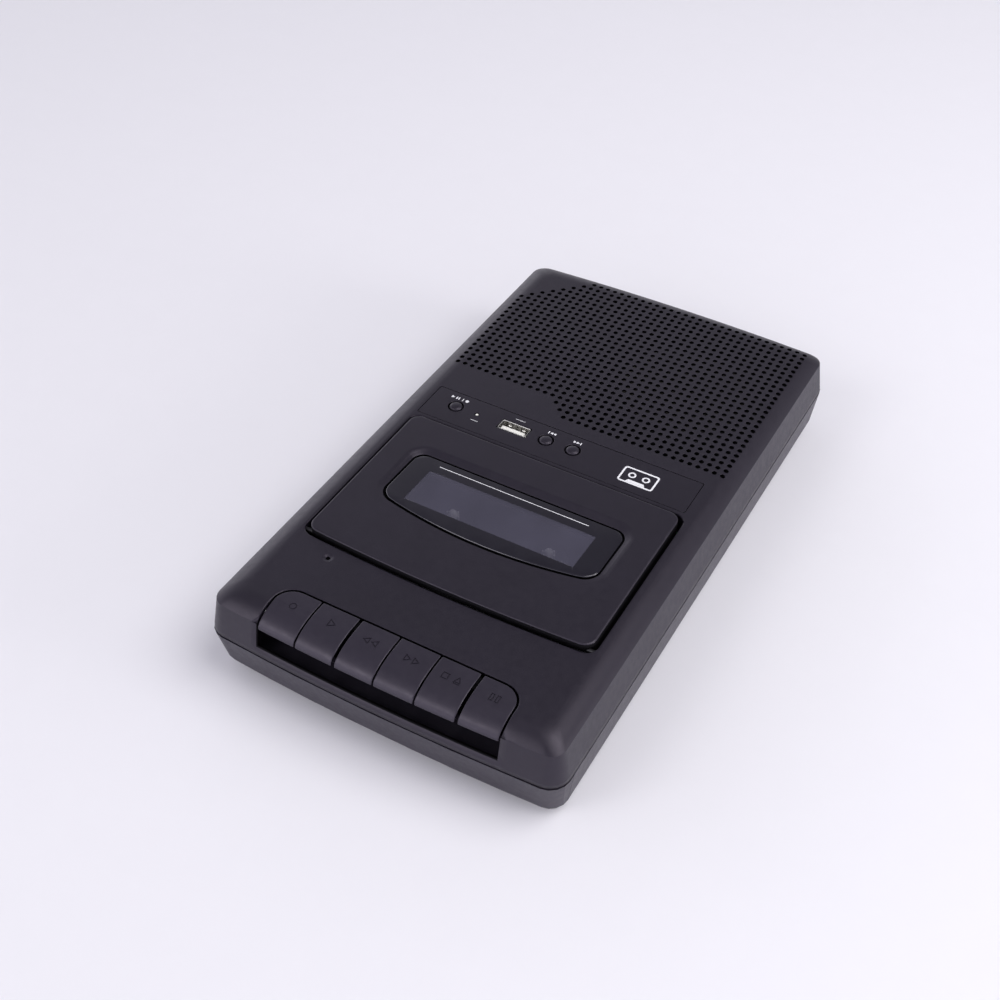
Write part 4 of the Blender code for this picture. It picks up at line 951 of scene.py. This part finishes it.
def build_lower_case():
    refine("bottom_shell", "bottom_cover", "lower_plastic", "case", 0.22)
    refine("handle_bar", "pull_handle", "lower_plastic", "handle", 0.35)
    refine("battery_hatch", "battery_door", "lower_plastic", "battery_cover", 0.18)
    low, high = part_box("battery_door")
    left, cy = low.x / MM, middle("battery_door")[1]
    ribs = [box_mesh(left + 7.0 + 2.2 * i, left + 8.1 + 2.2 * i, cy - 11.0, cy + 11.0, 1.55, 2.2)
            for i in range(5)]
    rounded(add_piece("hatch_grip_ribs", joined(ribs), "lower_plastic", "battery_cover"), 0.25)
    for end in ("front", "rear"):
        for side in ("left", "right"):
            node = "case_screw_%s_%s" % (end, side)
            x, y, _ = middle(node)
            profile = [(0, 26.0), (0.4, 25.6), (1.1, 24.4)]
            for turn in range(SCREW_TURNS):
                z = 24.0 - turn * SCREW_PITCH
                profile += [(1.1, z), (0.85, z - 0.37)]
            profile += [(1.1, 4.4), (2.45, 4.4), (2.7, 4.1), (2.7, 3.2), (2.4, 2.75), (1.7, 2.6), (0, 2.6)]
            body = lathe(profile, x, y, 24)
            for wide, deep in ((1.5, 0.25), (0.25, 1.5)):
                body = carved(body, box_mesh(x - wide, x + wide, y - deep, y + deep, 2.3, 3.5))
            add_piece("screw_%s_%s" % (end, side), body, "steel", "case", (node,), sharp=30)
            node = "foot_%s_%s" % (end, side)
            x, y, _ = middle(node)
            foot = lathe(list(FOOT_PROFILE), x, y, 36)
            add_piece("rubber_" + node, foot, "rubber", "case", (node,), sharp=40)


def sideways(mesh, x, y, z):
    """Turns an upright shape made at the origin so that its top faces -X, and moves it there."""
    mesh.transform(Matrix.Translation((x * MM, y * MM, z * MM)) @ Matrix.Rotation(-math.pi / 2, 4, "Y"))
    return mesh


def build_left_side():
    low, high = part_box("volume_wheel")
    x, y, _ = middle("volume_wheel")
    radius, teeth = (high.x - low.x) / 2 / MM, 64
    rim = []
    for i in range(teeth):
        for share, depth in ((0.0, 0.30), (0.30, 0.0), (0.62, 0.0), (0.92, 0.30)):
            a = 2 * math.pi * (i + share) / teeth
            rim.append((x + (radius - depth) * math.cos(a), y + (radius - depth) * math.sin(a)))
    wheel = carved(prism([rim], low.z / MM, high.z / MM),
                   joined([prism([circle(x, y, 1.3, 20)], 20, 40)]))
    rounded(add_piece("volume_thumbwheel", wheel, "key_plastic", "volume", ("volume_wheel",)), 0.12, 1, 60)
    for node, bore in (("earphone_jack", 1.8), ("microphone_jack", 1.8), ("dc_power_jack", 2.8)):
        refine(node + "_body", node, "inner_plastic", "case", 0.25)
        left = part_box(node)[0].x / MM
        _, cy, cz = middle(node)
        ring = [(bore + 0.75, 0.18), (bore + 0.95, 0.0), (bore + 0.95, -1.4), (bore - 0.02, -1.4),
                (bore - 0.02, 0.0), (bore + 0.15, 0.18), (bore + 0.75, 0.18)]
        collar = sideways(lathe(ring, 0, 0, 32), left + 0.02, cy, cz)
        add_piece(node + "_collar", collar, "steel", "case", sharp=40)


# ---- inside -------------------------------------------------------------------------------------------
PLAIN_NODES = ("transport_chassis", "head_plate", "record_play_head", "erase_head", "pinch_arm",
               "pinch_roller", "flywheel", "drive_motor", "motor_pulley", "drive_belt", "takeup_idler",
               "speaker_basket", "speaker_cone", "speaker_magnet", "microphone_capsule",
               "main_circuit_board", "usb_circuit_board", "battery_contact_front",
               "battery_contact_rear", "volume_potentiometer")
EDGE_RADII = {"battery_contact_front": 0.1, "battery_contact_rear": 0.1, "drive_belt": 0.3,
              "head_plate": 0.2, "pinch_arm": 0.15, "speaker_cone": 0.1, "speaker_basket": 0.15}
HUB_PROFILE = ((0, 33.68), (0.5, 33.6), (1.1, 33.3), (1.6, 32.7), (1.9, 31.9), (2.0, 31.0), (2.0, 26.9),
               (5.4, 26.9), (5.6, 26.6), (8.2, 26.6), (8.45, 26.4), (8.5, 26.1), (8.3, 25.7), (3.0, 25.7),
               (3.0, 22.5), (10.0, 22.5), (10.0, 19.5), (0, 19.5))
HUB_RIBS, HUB_SHOULDER_Z = 6, 27.2


def build_transport():
    for node, body in (("supply_spindle", "supply_reel"), ("takeup_spindle", "takeup_reel")):
        x, y, _ = middle(node)
        spindle = lathe(list(HUB_PROFILE), x, y, 48)
        for i in range(HUB_RIBS):
            a = 2 * math.pi * i / HUB_RIBS
            rib = prism([[(1.4, -0.38), (2.85, -0.30), (2.85, 0.30), (1.4, 0.38)]], 26.8, 31.6)
            rib.transform(Matrix.Translation((x * MM, y * MM, 0)) @ Matrix.Rotation(a, 4, "Z"))
            spindle = carved(spindle, rib, "UNION")
        hub = rounded(add_piece(node + "_hub", spindle, "inner_plastic", body, (node,)), 0.10, 1, 45)
        hub.data.materials.append(LOOKS["spindle_plastic"])
        for face in hub.data.polygons:
            face.material_index = 1 if face.center.z > HUB_SHOULDER_Z * MM else 0
    slots = {row["node"]: row["material_slot"] for row in frame["record"]["subparts"]}
    bodies = {node: body for body, nodes in frame["record"]["behaviour"]["bodies"].items() for node in nodes}
    for node in PLAIN_NODES:
        look = "dark_steel" if node == "speaker_basket" else slots[node]
        refine(node + "_shape", node, look, bodies[node], EDGE_RADII.get(node, 0.25))
    low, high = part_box("main_circuit_board")
    left, front, top = low.x / MM, low.y / MM, high.z / MM
    chips = [box_mesh(left + x0, left + x1, front + y0, front + y1, top, top + tall)
             for x0, x1, y0, y1, tall in ((8, 20, 7, 14, 1.6), (27, 34, 5, 10, 1.4), (40, 50, 14, 24, 2.4))]
    rounded(add_piece("board_chips", joined(chips), "ferrite", "case"), 0.2)
    can = [(0, top + 7.0), (2.2, top + 7.0), (2.5, top + 6.7), (2.5, top + 1.0), (2.3, top + 0.7),
           (2.5, top + 0.4), (2.5, top), (0, top)]
    cans = [lathe(can, left + dx, front + dy, 24) for dx, dy in ((38, 8), (45, 7), (56, 18))]
    add_piece("board_capacitors", joined(cans), "dark_steel", "case", sharp=40)


# ---- floor, light and camera --------------------------------------------------------------------------
FLOOR_HALF, SKY_STRENGTH = 6.0, 2.1
# the sky's colour by height, and how it darkens towards the back
SKY_RAMP = ((0.0, (0.95, 0.94, 1.0)), (0.30, (0.80, 0.79, 0.86)), (0.55, (0.24, 0.237, 0.26)),
            (0.70, (0.12, 0.118, 0.134)), (1.0, (0.15, 0.148, 0.165)))
BACK_RAMP = ((0.0, (1.0, 1.0, 1.0)), (0.30, (0.75, 0.75, 0.75)), (0.85, (0.30, 0.30, 0.30)))
BACK_DIRECTION = (0.55, 0.83, 0.0)
MIX_A, MIX_B, MIX_RESULT = 6, 7, 2


def build_stage():
    mesh = bpy.data.meshes.new("floor")
    corners = [(x * FLOOR_HALF, y * FLOOR_HALF, 0) for x, y in ((-1, -1), (1, -1), (1, 1), (-1, 1))]
    mesh.from_pydata(corners, [], [(0, 1, 2, 3)])
    floor = bpy.data.objects.new("floor", mesh)
    bpy.context.scene.collection.objects.link(floor)
    mesh.materials.append(surface("floor", (0.80, 0.79, 0.84), 0.65, mottle=0.004, rough_spread=0.02))
    world = bpy.data.worlds.new("studio")
    bpy.context.scene.world = world
    world.use_nodes = True
    tree = world.node_tree
    background = tree.nodes["Background"]
    background.inputs["Strength"].default_value = SKY_STRENGTH
    place = tree.nodes.new("ShaderNodeTexCoord")
    split = tree.nodes.new("ShaderNodeSeparateXYZ")
    sky = ramp(tree, SKY_RAMP)
    link(tree, place, "Generated", split, "Vector")
    link(tree, split, "Z", sky, "Fac")
    backward = tree.nodes.new("ShaderNodeVectorMath")
    backward.operation = "DOT_PRODUCT"
    backward.inputs[1].default_value = BACK_DIRECTION
    link(tree, place, "Generated", backward, "Vector")
    dim = ramp(tree, BACK_RAMP)
    link(tree, backward, "Value", dim, "Fac")
    mix = tree.nodes.new("ShaderNodeMix")
    mix.data_type = "RGBA"
    mix.blend_type = "MULTIPLY"
    mix.inputs["Factor"].default_value = 1.0
    tree.links.new(sky.outputs["Color"], mix.inputs[MIX_A])
    tree.links.new(dim.outputs["Color"], mix.inputs[MIX_B])
    tree.links.new(mix.outputs[MIX_RESULT], background.inputs["Color"])
    bpy.context.scene.view_settings.view_transform = "Standard"

    def area(name, place, aim, size, power, colour=(1.0, 0.99, 0.98)):
        lamp = bpy.data.lights.new(name, "AREA")
        lamp.shape = "DISK"
        lamp.size = size
        lamp.energy = power
        lamp.color = colour
        obj = bpy.data.objects.new(name, lamp)
        bpy.context.scene.collection.objects.link(obj)
        obj.location = place
        obj.rotation_euler = (Vector(aim) - Vector(place)).to_track_quat("-Z", "Y").to_euler()

    area("key", (0.9, 0.2, 1.6), (0.0, 0.0, 0.0), 1.5, 21.0)
    area("fill", (-0.75, -1.4, 1.3), (0.0, 0.0, 0.0), 0.9, 8.0)
    area("rim", (1.3, 0.2, 0.30), (0.0, 0.0, 0.02), 0.6, 7.0)


# azimuth, elevation and roll in degrees, and the place in metres
CAMERA_ANGLES, CAMERA_PLACE = (28.42, 43.0, 1.5), (0.1844, -0.3800, 0.4110)
SENSOR_WIDTH, LENS_PER_SENSOR = 36.0, 1.4058


def build_camera():
    """The viewer stands off the right front corner and looks down on the machine."""
    azimuth, elevation, roll = (math.radians(angle) for angle in CAMERA_ANGLES)
    back = Vector((math.sin(azimuth) * math.cos(elevation), -math.cos(azimuth) * math.cos(elevation),
                   math.sin(elevation)))
    right = Vector((math.cos(azimuth), math.sin(azimuth), 0.0))
    up = back.cross(right)
    turned_right = right * math.cos(roll) + up * math.sin(roll)
    turned_up = -right * math.sin(roll) + up * math.cos(roll)
    camera = bpy.data.cameras.new("camera")
    camera.sensor_width = SENSOR_WIDTH
    camera.lens = SENSOR_WIDTH * LENS_PER_SENSOR
    camera.clip_start = 0.01
    obj = bpy.data.objects.new("camera", camera)
    bpy.context.scene.collection.objects.link(obj)
    rotation = Matrix((turned_right, turned_up, back)).transposed().to_4x4()
    obj.matrix_world = Matrix.Translation(CAMERA_PLACE) @ rotation
    bpy.context.scene.camera = obj


build_top_cover()
build_door()
build_keys()
build_strip()
build_prints()
build_controls()
build_lower_case()
build_left_side()
build_transport()
for piece in bpy.data.objects:
    if piece.type == "MESH" and "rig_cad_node" not in piece:
        normals = piece.modifiers.new("even_shading", "WEIGHTED_NORMAL")
        normals.keep_sharp = True
build_stage()
build_camera()
